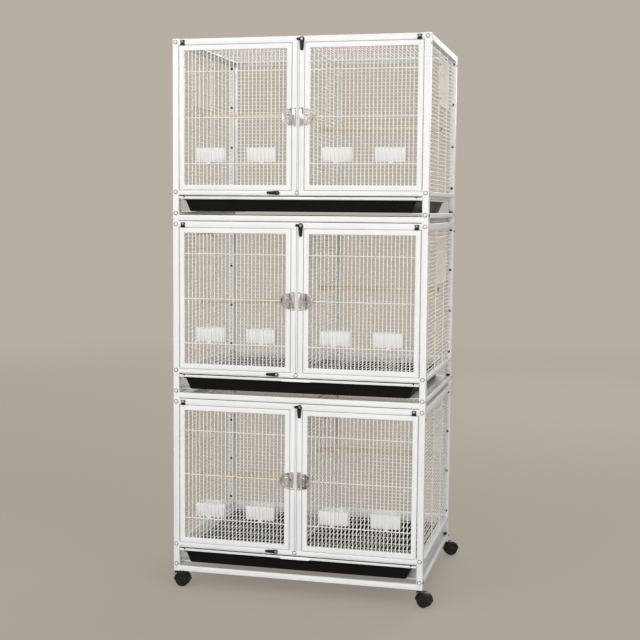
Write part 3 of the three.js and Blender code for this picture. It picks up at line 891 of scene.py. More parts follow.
@dataclass(frozen=True)
class WireRow:
    """A row of equal straight wires."""

    start: Vector
    step: Vector
    run: Vector
    count: int
    radius: float

    @staticmethod
    def across(
        plane: Plane,
        places: Places,
        run: Span,
        w: float,
        upright: bool,
        radius: float = LAYOUT.wire_radius,
    ) -> "WireRow":
        """A row in a flat panel.

        Args:
            plane: the panel's plane.
            places: first place, spacing and count, along the axis that the row goes.
            run: where each wire starts and ends on the other axis.
            w: how far across the plane the wires lie.
            upright: whether the wires run along the plane's second axis.
            radius: of each wire.

        Returns:
            The row.
        """
        first, step, count = places
        if upright:
            start, end = plane.at(first, run[0], w), plane.at(first, run[1], w)
            spacing = plane.at(step, 0, 0)
        else:
            start, end = plane.at(run[0], first, w), plane.at(run[1], first, w)
            spacing = plane.at(0, step, 0)
        return WireRow(start, spacing, end - start, count, radius)

    def turned(self, turn: Matrix) -> "WireRow":
        """This row, turned about the cage's middle."""
        places = (turn @ self.start, turn @ self.step, turn @ self.run)
        return WireRow(*places, self.count, self.radius)


class GrowingTree:
    """A Geometry Nodes tree that is built once and used for many pieces."""

    title: ClassVar[str] = ""
    sockets: ClassVar[tuple[tuple[str, str], ...]] = ()
    _built: ClassVar[dict[str, bpy.types.NodeTree]] = {}

    def tree(self) -> bpy.types.NodeTree:
        """Builds the tree the first time it is asked for.

        Returns:
            The tree.
        """
        if self.title not in GrowingTree._built:
            group = bpy.data.node_groups.new(self.title, "GeometryNodeTree")
            group.interface.new_socket("Geometry", in_out="INPUT", socket_type="NodeSocketGeometry")
            for name, kind in self.sockets:
                group.interface.new_socket(name, in_out="INPUT", socket_type=kind)
            group.interface.new_socket("Geometry", in_out="OUTPUT", socket_type="NodeSocketGeometry")
            bench = NodeBench(group)
            given = bench.add("NodeGroupInput").outputs
            result = self.grow(bench, given)
            whole = bench.add("GeometryNodeRealizeInstances", None, {"Geometry": result})
            painted = bench.add(
                "GeometryNodeSetMaterial",
                None,
                {"Geometry": whole.outputs[0], "Material": given["Finish"]},
            )
            bench.add("NodeGroupOutput", None, {"Geometry": painted.outputs[0]})
            GrowingTree._built[self.title] = group
        return GrowingTree._built[self.title]

    def grow(self, bench: NodeBench, given: bpy.types.NodeOutputs) -> bpy.types.NodeSocket:
        """Adds the nodes that make the pieces.

        Args:
            bench: where nodes are added.
            given: the group's inputs.

        Returns:
            The geometry socket to finish.
        """
        raise NotImplementedError

    def apply(self, base: bpy.types.Object, values: dict[str, object]) -> None:
        """Adds the tree to an object as a modifier.

        Args:
            base: the object.
            values: input name to value.
        """
        group = self.tree()
        modifier = base.modifiers.new(self.title, "NODES")
        modifier.node_group = group
        for item in group.interface.items_tree:
            if item.in_out == "INPUT" and item.name in values:
                modifier[item.identifier] = values[item.name]


class WireTree(GrowingTree):
    """Rows of straight wires."""

    title = "wire_row"
    sockets = (
        ("Start", "NodeSocketVector"),
        ("Step", "NodeSocketVector"),
        ("Run", "NodeSocketVector"),
        ("Count", "NodeSocketInt"),
        ("Radius", "NodeSocketFloat"),
        ("Sides", "NodeSocketInt"),
        ("Finish", "NodeSocketMaterial"),
    )

    def grow(self, bench: NodeBench, given: bpy.types.NodeOutputs) -> bpy.types.NodeSocket:
        """A cylinder at each point of a line, turned along the run.

        Args:
            bench: where nodes are added.
            given: the group's inputs.

        Returns:
            The geometry socket to finish.
        """
        half = bench.add(
            "ShaderNodeVectorMath", {"operation": "SCALE"}, {0: given["Run"], "Scale": 0.5}
        )
        middle = bench.add(
            "ShaderNodeVectorMath", {"operation": "ADD"}, {0: given["Start"], 1: half.outputs[0]}
        )
        length = bench.add("ShaderNodeVectorMath", {"operation": "LENGTH"}, {0: given["Run"]})
        line = bench.add(
            "GeometryNodeMeshLine",
            {"mode": "OFFSET"},
            {"Count": given["Count"], "Start Location": middle.outputs[0], "Offset": given["Step"]},
        )
        wire = bench.add(
            "GeometryNodeMeshCylinder",
            {"fill_type": "NGON"},
            {"Vertices": given["Sides"], "Radius": given["Radius"], "Depth": length.outputs["Value"]},
        )
        turn = bench.add("FunctionNodeAlignRotationToVector", {"axis": "Z"}, {"Vector": given["Run"]})
        row = bench.add(
            "GeometryNodeInstanceOnPoints",
            None,
            {"Points": line.outputs[0], "Instance": wire.outputs["Mesh"], "Rotation": turn.outputs[0]},
        )
        joined = bench.add("GeometryNodeJoinGeometry")
        bench.feed(joined.inputs[0], given["Geometry"])
        bench.feed(joined.inputs[0], row.outputs[0])
        return joined.outputs[0]


class ScrewTree(GrowingTree):
    """A domed screw head on a washer at each point, facing the way the point says."""

    title = "screw_heads"
    sockets = (
        ("Washer Radius", "NodeSocketFloat"),
        ("Washer Height", "NodeSocketFloat"),
        ("Head Radius", "NodeSocketFloat"),
        ("Head Height", "NodeSocketFloat"),
        ("Head Sides", "NodeSocketInt"),
        ("Finish", "NodeSocketMaterial"),
    )
    brim_share: ClassVar[float] = 0.55
    crown_share: ClassVar[float] = 0.62
    washer_sides: ClassVar[int] = 20

    def grow(self, bench: NodeBench, given: bpy.types.NodeOutputs) -> bpy.types.NodeSocket:
        """Builds one head from a washer, a brim and a crown, and puts it at every point.

        Args:
            bench: where nodes are added.
            given: the group's inputs.

        Returns:
            The geometry socket to finish.
        """
        names = ("Washer Radius", "Washer Height", "Head Radius", "Head Height")
        washer, lift, radius, height = (Value(bench, given[name]) for name in names)
        sides = given["Head Sides"]
        brim = height * self.brim_share
        crown = height * (1 - self.brim_share)
        whole = bench.add("GeometryNodeJoinGeometry")
        for part in (
            self._disc(bench, washer, washer, lift, 0.0, self.washer_sides),
            self._disc(bench, radius, radius, brim, lift, sides),
            self._disc(bench, radius * self.crown_share, radius, crown, lift + brim, sides),
        ):
            bench.feed(whole.inputs[0], part)
        facing = bench.add(
            "GeometryNodeInputNamedAttribute", {"data_type": "FLOAT_VECTOR"}, {"Name": "facing"}
        )
        turn = bench.add(
            "FunctionNodeAlignRotationToVector",
            {"axis": "Z"},
            {"Vector": facing.outputs["Attribute"]},
        )
        placed = bench.add(
            "GeometryNodeInstanceOnPoints",
            None,
            {"Points": given["Geometry"], "Instance": whole.outputs[0], "Rotation": turn.outputs[0]},
        )
        return placed.outputs[0]

    @staticmethod
    def _disc(
        bench: NodeBench, top: object, foot: object, height: object, level: object, sides: object
    ) -> bpy.types.NodeSocket:
        """A cone or disc that stands on a level.

        Args:
            bench: where nodes are added.
            top: its upper radius.
            foot: its lower radius.
            height: how tall it is.
            level: where it stands.
            sides: facets round it.

        Returns:
            Its geometry socket.
        """
        cone = bench.add(
            "GeometryNodeMeshCone",
            {"fill_type": "NGON"},
            {"Vertices": sides, "Radius Top": top, "Radius Bottom": foot, "Depth": height},
        )
        lift = bench.add("ShaderNodeCombineXYZ", None, {"Z": level})
        moved = bench.add(
            "GeometryNodeTransform",
            None,
            {"Geometry": cone.outputs["Mesh"], "Translation": lift.outputs[0]},
        )
        return moved.outputs[0]


def grown(
    name: str,
    finish: Finish,
    tree: GrowingTree,
    calls: Sequence[dict[str, object]],
    base: bpy.types.Mesh,
) -> bpy.types.Object:
    """Evaluates a tree and keeps the result as a plain piece.

    Args:
        name: the piece's name.
        finish: what it is finished in.
        tree: what grows it.
        calls: the inputs of each modifier, one after another.
        base: the mesh it starts from.

    Returns:
        The piece.
    """
    seed = bpy.data.objects.new(name + "_seed", base)
    bpy.context.scene.collection.objects.link(seed)
    for values in calls:
        tree.apply(seed, {**values, "Finish": finish.material()})
    bpy.context.view_layer.update()
    evaluated = seed.evaluated_get(bpy.context.evaluated_depsgraph_get())
    mesh = bpy.data.meshes.new_from_object(evaluated)
    bpy.data.objects.remove(seed)
    return dressed(mesh, name, finish, GROWN_CREASE)


def wires(name: str, rows: Sequence[WireRow], finish: Finish = WIRE_CREAM) -> bpy.types.Object:
    """Makes one piece of many wires.

    Args:
        name: the piece's name.
        rows: its rows of wires, in millimetres.
        finish: what they are finished in.

    Returns:
        The piece.
    """
    calls = [
        {
            "Start": row.start * MM,
            "Step": row.step * MM,
            "Run": row.run * MM,
            "Count": row.count,
            "Radius": row.radius * MM,
            "Sides": WIRE_SIDES,
        }
        for row in rows
        if row.count > 0
    ]
    return grown(name, finish, WireTree(), calls, bpy.data.meshes.new(name))


@dataclass(frozen=True)
class ScrewHead:
    """Sizes of a screw head and its washer."""

    washer_radius: float
    washer_height: float
    head_radius: float
    head_height: float
    sides: int

    def place(
        self, name: str, places: Sequence[tuple[Point, Point]], finish: Finish = ZINC
    ) -> bpy.types.Object:
        """Makes one piece of many screw heads.

        Args:
            name: the piece's name.
            places: point and facing of each, in millimetres.
            finish: what they are finished in.

        Returns:
            The piece.
        """
        mesh = bpy.data.meshes.new(name)
        mesh.from_pydata([tuple(Vector(point) * MM) for point, _ in places], [], [])
        facing = mesh.attributes.new("facing", "FLOAT_VECTOR", "POINT")
        facing.data.foreach_set("vector", [part for _, way in places for part in way])
        values = {
            "Washer Radius": self.washer_radius * MM,
            "Washer Height": self.washer_height * MM,
            "Head Radius": self.head_radius * MM,
            "Head Height": self.head_height * MM,
            "Head Sides": self.sides,
        }
        return grown(name, finish, ScrewTree(), [values], mesh)


# ---------------- sub-assemblies


class SubAssembly:
    """A part of the cage that builds and dresses its own pieces."""

    def build(self) -> None:
        """Makes the pieces and puts them on their bodies."""
        raise NotImplementedError

    @staticmethod
    def keep(piece: bpy.types.Object, body: str, *nodes: str) -> None:
        """Puts a piece on a body, in place of the nodes it stands for.

        Args:
            piece: the piece.
            body: the body that it rides on.
            nodes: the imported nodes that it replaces.
        """
        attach(piece, body)
        if nodes:
            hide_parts(*nodes)
        LOG.info("%s rides on %s", piece.name, body)


def mesh_rows(
    plane: Plane, close: Span, support: Span, w: float, pitch: float, upright: bool
) -> list[WireRow]:
    """Close-set wires over a rectangle, and the few that cross and carry them.

    Args:
        plane: the panel's plane.
        close: the rectangle's edges along the way that the close-set wires follow one another.
        support: its edges along the way that the carrying wires follow one another.
        w: the middle of the two layers.
        pitch: spacing of the carrying wires.
        upright: whether the close-set wires run along the plane's second axis.

    Returns:
        Two rows.
    """
    lay = LAYOUT
    layers = (w - lay.layer, w + lay.layer) if upright else (w + lay.layer, w - lay.layer)
    close_run, support_run = widened(support, lay.bite), widened(close, lay.bite)
    return [
        WireRow.across(plane, close_set(close), close_run, layers[0], upright),
        WireRow.across(plane, evenly(support, pitch), support_run, layers[1], not upright),
    ]


# ---------------- frames


@dataclass
class WeldedFrame(SubAssembly):
    """What front and back have in common: two posts, three rails for each tier, and bolts."""

    hand: ClassVar[int] = 0
    edge: float = 1.6
    edge_steps: int = 3
    lap: float = 2.0
    post_rise: float = 1.0
    # A black disc under each bolt head shows as a ring: painted shade standing for the dark gap round
    # the head.
    bolt_shade_ring: ScrewHead = ScrewHead(6.2, 0.5, 5.6, 0.3, 24)
    bolt_head: ScrewHead = ScrewHead(4.7, 1.1, 4.4, 3.0, 6)

    def _posts(self, sketch: MeshSketch) -> None:
        """Adds the two posts.

        Args:
            sketch: what they are added to.
        """
        lay = LAYOUT
        for side in Side:
            sketch.bar(
                (side.sign * lay.post_x, self.hand * lay.post_y, lay.post_foot),
                (side.sign * lay.outer_x, self.hand * lay.outer_y, lay.top + self.post_rise),
                self.edge,
                self.edge_steps,
            )

    def _rails(self, sketch: MeshSketch, top: float) -> None:
        """Adds a tier's top, lower and base rail.

        Args:
            sketch: what they are added to.
            top: the tier's height.
        """
        lay = LAYOUT
        reach = lay.post_x + self.lap
        rails = (
            (0.0, lay.top_rail),
            (lay.doorway_foot, lay.lower_rail),
            (lay.base_top, lay.base_foot),
        )
        for high, low in rails:
            sketch.bar(
                (-reach, self.hand * lay.rail_y, top + low),
                (reach, self.hand * lay.outer_y, top + high),
                self.edge,
                self.edge_steps,
            )

    def _bolted(self, x: float, z: float) -> tuple[Point, Point]:
        """Point and facing of a bolt on the frame's outer face."""
        return (x, self.hand * LAYOUT.outer_y, z), (0, self.hand, 0)

    def _post_bolts(self, top: float) -> list[tuple[Point, Point]]:
        """Places of a tier's bolts through both posts."""
        lines = [side.sign * LAYOUT.post_middle_x for side in Side]
        return [self._bolted(x, top + level) for x in lines for level in LAYOUT.bolt_levels]

    def _bolts(self, name: str, places: Sequence[tuple[Point, Point]]) -> None:
        """Painted hexagon heads, each on a black ring that is painted shade for the dark gap round the
        head.

        Args:
            name: what the pieces' names start with.
            places: point and facing of each, in millimetres.
        """
        # The black rings are painted shade round each head.
        self.keep(self.bolt_shade_ring.place(name + "_shade_rings", places, BLACK_PLASTIC), "frame")
        self.keep(self.bolt_head.place(name, places, FRAME_WHITE), "frame")


@dataclass
class FrontFrame(WeldedFrame):
    """The welded front with its centre stiles, keeper plates and hinge bushes."""

    hand: ClassVar[int] = -1
    keeper_width: float = 10.0
    keeper_height: float = 54.0
    keeper_y: Span = (-1.6, 0.4)
    roll_radius: float = 1.9
    roll_inset: float = 2.4
    latch_level: float = -228.0
    slot_bolt: Pair = (-2.0, -444.5)
    bush_x: float = 348.5
    bush_width: float = 14.0
    bush_waist: float = 0.55
    bush_crown: float = 0.8
    bush_notch: float = 4.0
    bush_z: Span = (-18.4, -3.5)
    bush_y: Span = (-3.2, -0.1)
    bush_screw: Pair = (-3.1, -4.5)
    screw: ScrewHead = ScrewHead(3.4, 0.4, 3.0, 1.6, 14)

    def build(self) -> None:
        """Builds the tubes, keepers, bolts and hinge bushes."""
        self._tubes()
        self._keepers()
        places = []
        for tier in Tier:
            top = LAYOUT.level(tier)
            places += [*self._post_bolts(top), self._bolted(self.slot_bolt[0], top + self.slot_bolt[1])]
        self._bolts("front_bolts", places)
        self._bushes()

    def _tubes(self) -> None:
        """Posts, rails and stiles as welded tubes."""
        lay = LAYOUT
        sketch = MeshSketch()
        self._posts(sketch)
        near = lay.slot / 2
        for tier in Tier:
            top = lay.level(tier)
            self._rails(sketch, top)
            for side in Side:
                sketch.bar(
                    (side.sign * near, -lay.outer_y, top + lay.doorway_foot - self.lap),
                    (side.sign * (near + lay.stile), -lay.rail_y, top + lay.top_rail + self.lap),
                    self.edge,
                    self.edge_steps,
                )
        self.keep(sketch.piece("front_frame_tubes", FRAME_WHITE), "frame", "front_frame")

    def _keepers(self) -> None:
        """A plated catch plate with rolled ends on each stile."""
        lay = LAYOUT
        face = -lay.outer_y
        middle = lay.slot / 2 + lay.stile / 2
        half, tall = self.keeper_width / 2, self.keeper_height / 2
        y = face - self.roll_radius
        sketch = MeshSketch()
        for tier in Tier:
            height = lay.level(tier) + self.latch_level
            for side in Side:
                x = side.sign * middle
                sketch.bar(
                    (x - half, face + self.keeper_y[0], height - tall),
                    (x + half, face + self.keeper_y[1], height + tall),
                    0.6,
                )
                for end in (-1, 1):
                    z = height + end * (tall - self.roll_inset)
                    sketch.rod((x - half, y, z), (x + half, y, z), self.roll_radius, 14)
        self.keep(sketch.piece("keeper_plates", CHROME), "frame")

    def _bushes(self) -> None:
        """Black hinge bushes under the top rail, each held by a pale screw."""
        face = -LAYOUT.outer_y
        half = self.bush_width / 2
        span = (face + self.bush_y[0], face + self.bush_y[1])
        sketch = MeshSketch()
        screws = []
        for tier in Tier:
            low, high = (LAYOUT.level(tier) + z for z in self.bush_z)
            edge = (
                (half, low),
                (half, low + self.bush_notch),
                (half * self.bush_waist, (low + high) / 2),
                (half, high - self.bush_notch),
                (half * self.bush_crown, high),
            )
            for side in Side:
                x = side.sign * self.bush_x
                outline = [(x + u, v) for u, v in edge] + [(x - u, v) for u, v in reversed(edge)]
                sketch.plate(outline, Plane.FRONT, span, 0.6)
                screws.append(((x, face + self.bush_screw[0], high + self.bush_screw[1]), (0, -1, 0)))
        self.keep(sketch.piece("hinge_bushes", BLACK_PLASTIC), "frame")
        self.keep(self.screw.place("bush_screws", screws), "frame")


@dataclass
class BackFrame(WeldedFrame):
    """The welded back with its mesh and the channels for the dividers."""

    hand: ClassVar[int] = 1
    support_pitch: float = 120.0
    channel_half: float = 5.2
    channel_wall: float = 2.9
    channel_front: float = 256.8
    channel_back: Span = (0.5, 2.5)

    def build(self) -> None:
        """Builds the tubes, the mesh and the bolts."""
        lay = LAYOUT
        sketch = MeshSketch()
        rows: list[WireRow] = []
        places = []
        middle = lay.outer_y - lay.rail_depth / 2
        self._posts(sketch)
        for tier in Tier:
            top = lay.level(tier)
            self._rails(sketch, top)
            up, wide = (top + lay.doorway_foot, top + lay.top_rail), (-lay.post_x, lay.post_x)
            rows += mesh_rows(Plane.FRONT, up, wide, middle, self.support_pitch, False)
            places += self._post_bolts(top)
            self._channel(sketch, widened(up, 1))
        self.keep(sketch.piece("back_frame_tubes", FRAME_WHITE), "frame", "back_frame")
        self.keep(wires("back_frame_mesh", rows), "frame")
        self._bolts("back_bolts", places)

    def _channel(self, sketch: MeshSketch, up: Span) -> None:
        """Adds the upright channel that guides the rear edge of a tier's divider.

        Args:
            sketch: what it is added to.
            up: its foot and head.
        """
        half = self.channel_half
        web, back = (LAYOUT.rail_y + y for y in self.channel_back)
        for side in Side:
            near, far = side.sign * half, side.sign * half - side.sign * self.channel_wall
            sketch.bar((near, self.channel_front, up[0]), (far, back, up[1]), 0.5)
        sketch.bar((-half, web, up[0]), (half, back, up[1]), 0.5)


@dataclass
class SidePanel(SubAssembly):
    """A side: rails, end stiles, runners, and mesh round the nest openings.

    Everything is built for the left; the right panel is the same one turned half round.
    """

    side: Side
    end: float = 6.0
    gap: float = 0.3
    base_rail: float = 14.0
    runner: float = 2.0
    ledge_top: float = -457.1
    ledge_reach: float = 12.0
    runner_reach: float = 46.0
    opening_y: Span = (-103.0, 58.0)
    opening_z: Span = (-179.0, -45.0)
    opening_bar: float = 3.0
    half_depth: float = 1.95
    loop_x: float = 375.05
    loop_y: float = 60.5
    loop_reach: Pair = (4.3, 3.2)
    loop_radius: float = 0.8
    loop_levels: Span = (-62.0, -162.0)
    bolt_levels: Span = (-28.0, -505.0)
    screw_levels: tuple[float, ...] = (-26.0, -155.0, -287.0, -420.0)
    bolt: ScrewHead = ScrewHead(4.4, 0.6, 3.4, 2.0, 12)
    screw: ScrewHead = ScrewHead(4.2, 0.4, 3.2, 1.6, 12)
    plug_size: float = 11.0
    plug_z: Span = (-1.0, 6.0)
    plug_inset: float = 2.5

    def build(self) -> None:
        """Builds the tubes, the mesh, the loops, the plugs and the fasteners."""
        self._tubes()
        self._mesh()
        self._loops()
        self._fasteners()
        self._plugs()

    @property
    def clear(self) -> float:
        """How far the end stiles' inner faces are from the middle."""
        return LAYOUT.post_y - self.gap - self.end

    def _put(self, sketch: MeshSketch, name: str, finish: Finish, *nodes: str) -> None:
        """Turns what is built to its side and keeps it.

        Args:
            sketch: what is built.
            name: the piece's name; the side is put in the place of an asterisk.
            finish: what it is finished in.
            nodes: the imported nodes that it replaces.
        """
        sketch.moved(self.side.turn)
        self.keep(sketch.piece(name.replace("*", self.side.value), finish), "frame", *nodes)

    def _tubes(self) -> None:
        """Rails, end stiles and the folded runners for grate and tray."""
        lay = LAYOUT
        sketch = MeshSketch()
        outer, inner = -lay.outer_x, -lay.rail_x
        reach = lay.post_y - self.gap
        foot = lay.level(Tier.BOTTOM) + lay.tray_bay_foot - self.base_rail
        for end in (-1, 1):
            sketch.bar((inner, end * reach, foot), (outer, end * (reach - self.end), lay.top), 1.0, 2)
        web, inside = inner - self.runner, reach - 2
        for tier in Tier:
            top = lay.level(tier)
            ledge, tray = top + self.ledge_top, top + lay.tray_bay_foot
            under = ledge - self.runner
            rails = (
                (top, top + lay.top_rail),
                (top + lay.doorway_foot, top + lay.lower_rail),
                (tray, top + (lay.tray_bay_foot - self.base_rail)),
            )
            for high, low in rails:
                sketch.bar((inner, -reach, low), (outer, reach, high), 1.4, 3)
            folds = (
                (inner, under, top + lay.lower_rail + 2),
                (inner + self.ledge_reach, under, ledge),
                (inner + self.runner_reach, tray - self.runner, tray),
            )
            for x, low, high in folds:
                sketch.bar((x, -inside, low), (web, inside, high), 0.5)
        self._put(sketch, "side_*_tubes", FRAME_WHITE, f"side_panel_{self.side.value}")

    def _mesh(self) -> None:
        """Wires from end to end, the uprights that edge each nest opening, and its other bars."""
        lay = LAYOUT
        middle = -(lay.outer_x - lay.rail_depth / 2)
        bar = self.opening_bar
        near, far = widened((middle, middle), self.half_depth)
        front, back = self.opening_y
        rows: list[WireRow] = []
        bars = MeshSketch()
        for tier in Tier:
            top = lay.level(tier)
            up = (top + lay.doorway_foot, top + lay.top_rail)
            hole = (top + self.opening_z[0] - bar, top + self.opening_z[1] + bar)
            rows += self._stopped(close_set(up), hole, middle - lay.layer)
            for y in (front - bar, back):
                bars.bar((near, y, up[0] - 1), (far, y + bar, up[1] + 1), 1.2, 3)
            for z in (hole[0], hole[1] - bar):
                bars.bar((near, front - 1, z), (far, back + 1, z + bar), 1.2, 3)
        turned = [row.turned(self.side.turn) for row in rows]
        self.keep(wires(f"side_{self.side.value}_mesh", turned), "frame")
        self._put(bars, "side_*_opening_bars", WIRE_CREAM)

    def _stopped(self, places: Places, hole: Span, x: float) -> list[WireRow]:
        """Wires from end to end, those that meet the opening stopping at its uprights.

        Args:
            places: height of the lowest wire, spacing and count.
            hole: the opening's lower and upper edge.
            x: where the wires lie across the panel.

        Returns:
            The rows below, above, in front of and behind the opening.
        """
        first, step, count = places
        inside = [i for i in range(count) if hole[0] - 1 < first + i * step < hole[1] + 1]
        low, high = inside[0], inside[-1] + 1
        end = self.clear + LAYOUT.bite
        front, back = widened(self.opening_y, self.opening_bar / 2)
        stretches = (
            (0, low, (-end, end)),
            (high, count, (-end, end)),
            (low, high, (-end, front)),
            (low, high, (back, end)),
        )
        return [
            WireRow.across(Plane.SIDE, (first + begin * step, step, stop - begin), run, x, False)
            for begin, stop, run in stretches
        ]

    def _loops(self) -> None:
        """Wire loops that the nest hatches hang in."""
        sketch = MeshSketch()
        steps = 14
        centre, reach = (-self.loop_x, self.loop_y), (-self.loop_reach[0], self.loop_reach[1])
        for tier in Tier:
            for level in self.loop_levels:
                z = LAYOUT.level(tier) + level
                path = [(x, y, z) for x, y in arc(centre, reach, 0, 360, steps)[:steps]]
                sketch.bent_rod(path, self.loop_radius, 8, closed=True)
        self._put(sketch, "hatch_loops_*", ZINC)

    def _fasteners(self) -> None:
        """Bolts through the posts' sides and screws in the end stiles."""
        lay = LAYOUT
        outside = []
        within = []
        for tier in Tier:
            top = lay.level(tier)
            for end in (-1, 1):
                y = end * lay.post_middle_y
                outside += [((-lay.outer_x, y, top + level), (-1, 0, 0)) for level in self.bolt_levels]
                x, y = -lay.outer_x + lay.rail_depth / 2, end * self.clear
                within += [((x, y, top + level), (0, -end, 0)) for level in self.screw_levels]
        turn = self.side.turn
        for name, places, head, finish in (
            ("side_bolts", outside, self.bolt, ZINC),
            ("stile_screws", within, self.screw, BLACK_PLASTIC),
        ):
            moved = [(turn @ Vector(point), turn @ Vector(way)) for point, way in places]
            self.keep(head.place(f"{name}_{self.side.value}", moved, finish), "frame")

    def _plugs(self) -> None:
        """Black plugs in the ends of the lowest rails."""
        lay = LAYOUT
        plugs = MeshSketch()
        inner, outer = -lay.rail_x - self.plug_inset, -lay.outer_x + self.plug_inset
        for tier in Tier:
            low, high = (lay.level(tier) + lay.tray_bay_foot + z for z in self.plug_z)
            for end in (-1, 1):
                y = end * self.clear
                plugs.bar((inner, y, low), (outer, y - end * self.plug_size, high), 1.6, 3)
        self._put(plugs, "rail_plugs_*", BLACK_PLASTIC)


# ---------------- panels


@dataclass
class RoofPanel(SubAssembly):
    """A wire roof in a flat frame."""

    tier: Tier
    reach_x: float = 361.7
    reach_y: float = 263.7
    frame_width: float = 8.0
    span: Span = (-9.0, -3.0)
    support_pitch: float = 128.0

    def build(self) -> None:
        """Builds the frame and the mesh."""
        top = LAYOUT.level(self.tier)
        sketch = MeshSketch()
        x, y = (-self.reach_x, self.reach_x), (-self.reach_y, self.reach_y)
        w = (top + self.span[0], top + self.span[1])
        sketch.mitred(Plane.FLOOR, x, y, w, self.frame_width)
        clear_x, clear_y = (widened(span, -self.frame_width) for span in (x, y))
        rows = mesh_rows(Plane.FLOOR, clear_x, clear_y, sum(w) / 2, self.support_pitch, True)
        name = f"roof_{self.tier.value}"
        self.keep(sketch.piece(name + "_bars", FRAME_WHITE), "frame", name)
        self.keep(wires(name + "_mesh", rows), "frame")


@dataclass
class Divider(SubAssembly):
    """The wire panel that slides out between the stiles."""

    tier: Tier
    half: float = 1.95
    frame_width: float = 6.0
    y: Span = (-279.0, 263.0)
    z: Span = (-437.0, -19.0)
    support_pitch: float = 180.0

    def build(self) -> None:
        """Builds the frame and the mesh."""
        top = LAYOUT.level(self.tier)
        name = f"divider_{self.tier.value}"
        z = (top + self.z[0], top + self.z[1])
        sketch = MeshSketch()
        sketch.mitred(Plane.SIDE, self.y, z, (-self.half, self.half), self.frame_width, 1.2)
        clear_y, clear_z = (widened(span, -self.frame_width) for span in (self.y, z))
        rows = mesh_rows(Plane.SIDE, clear_z, clear_y, 0.0, self.support_pitch, False)
        self.keep(sketch.piece(name + "_bars", FRAME_WHITE), name, name)
        self.keep(wires(name + "_mesh", rows), name)


@dataclass
class Grate(SubAssembly):
    """The floor grate with its front strip and finger lip."""

    tier: Tier
    half_width: float = 361.0
    frame_width: float = 8.0
    top: float = -450.8
    frame_height: float = 6.0
    strip_foot: float = -462.7
    strip_depth: float = 3.0
    lip_width: float = 90.0
    lip_reach: float = 8.0
    lip_root: float = 4.0
    lip_height: float = 2.0
    cross_pitch: float = 67.0
    back: float = 263.0
    rivet: Pair = (345.0, -456.6)
    rivet_head: ScrewHead = ScrewHead(2.4, 0.3, 1.8, 0.7, 12)

    def build(self) -> None:
        """Builds the frame, the strip, the lip, the wires and the end rivets."""
        base = LAYOUT.level(self.tier)
        name = f"grate_{self.tier.value}"
        front = -LAYOUT.outer_y
        x, y = (-self.half_width, self.half_width), (front, self.back)
        w = (base + self.top - self.frame_height, base + self.top)
        foot = base + self.strip_foot
        sketch = MeshSketch()
        sketch.mitred(Plane.FLOOR, x, y, w, self.frame_width, 1.4)
        sketch.bar((x[0], front, foot), (x[1], front + self.strip_depth, w[1]), 0.8, 2)
        lip_x = (-self.lip_width / 2, self.lip_width / 2)
        lip = rounded_rectangle(lip_x, (front - self.lip_reach, front + self.lip_root), 5.0, 4)
        sketch.plate(lip, Plane.FLOOR, (foot, foot + self.lip_height), 0.6)
        clear_x, clear_y = (widened(span, -self.frame_width) for span in (x, y))
        rows = mesh_rows(Plane.FLOOR, clear_x, clear_y, sum(w) / 2, self.cross_pitch, True)
        self.keep(sketch.piece(name + "_bars", FRAME_WHITE), name, name)
        self.keep(wires(name + "_wires", rows, FRAME_WHITE), name)
        far, level = self.rivet
        rivets = [((side.sign * far, front, base + level), (0, -1, 0)) for side in Side]
        self.keep(self.rivet_head.place(name + "_rivets", rivets, BLACK_PLASTIC), name)


@dataclass
class Tray(SubAssembly):
    """The black droppings tray with leaning sides and a rolled rim."""

    tier: Tier
    rim_x: float = 350.0
    rim_front: float = -279.0
    rim_back: float = 258.0
    rim: float = 5.0
    rim_fall: float = 2.5
    taper: float = 14.0
    front_taper: float = 3.0
    wall: float = 2.5
    top: float = -464.0
    foot: float = -498.7
    corner: float = 9.0
    rib_pitch: float = 60.0
    rib_inset: float = 40.0
    rib_y: Span = (-250.0, 230.0)
    rib_z: Span = (-0.6, 0.8)
    rib_half: float = 2.0

    def _outline(self, inset: float, lean: float, level: float) -> list[Vector]:
        """One outline of the tray.

        Args:
            inset: how far it lies inside the rim.
            lean: share of the taper, 0 at the top and 1 at the bottom.
            level: its height.

        Returns:
            Its points.
        """
        x = self.rim_x - inset - self.taper * lean
        front = self.rim_front + inset + self.front_taper * lean
        corner = max(1.5, self.corner - inset * 0.3)
        points = rounded_rectangle((-x, x), (front, self.rim_back - inset), corner, 6)
        return [Vector((u, v, level)) for u, v in points]

    def build(self) -> None:
        """Builds the shell and the shallow ribs in its floor."""
        base = LAYOUT.level(self.tier)
        top, foot = base + self.top, base + self.foot
        rim = self.rim
        inner = rim + self.wall
        floor = foot + self.wall
        profile = (
            (rim + 1.2, 1.0, foot),
            (rim + 0.3, 0.97, foot + 0.9),
            (rim, self.rim_fall / (top - foot), top - self.rim_fall),
            (0.5, 0.0, top - self.rim_fall),
            (0.0, 0.0, top - self.rim_fall + 0.6),
            (0.0, 0.0, top - 0.7),
            (0.7, 0.0, top),
            (inner - 0.8, 0.0, top),
            (inner, 0.03, top - 0.9),
            (inner, 0.93, floor + 2.0),
            (inner + 1.6, 1.0, floor),
        )
        sketch = MeshSketch()
        sketch.loft([self._outline(*ring) for ring in profile])
        reach = self.rim_x - self.rib_inset
        first, step, count = evenly((-reach, reach), self.rib_pitch)
        for i in range(count):
            x0, x1 = widened((first + i * step, first + i * step), self.rib_half)
            low, high = (floor + z for z in self.rib_z)
            sketch.bar((x0, self.rib_y[0], low), (x1, self.rib_y[1], high), 0.6)
        name = f"tray_{self.tier.value}"
        self.keep(sketch.piece(name + "_shell", TRAY_BLACK), name, name)


# ---------------- doors


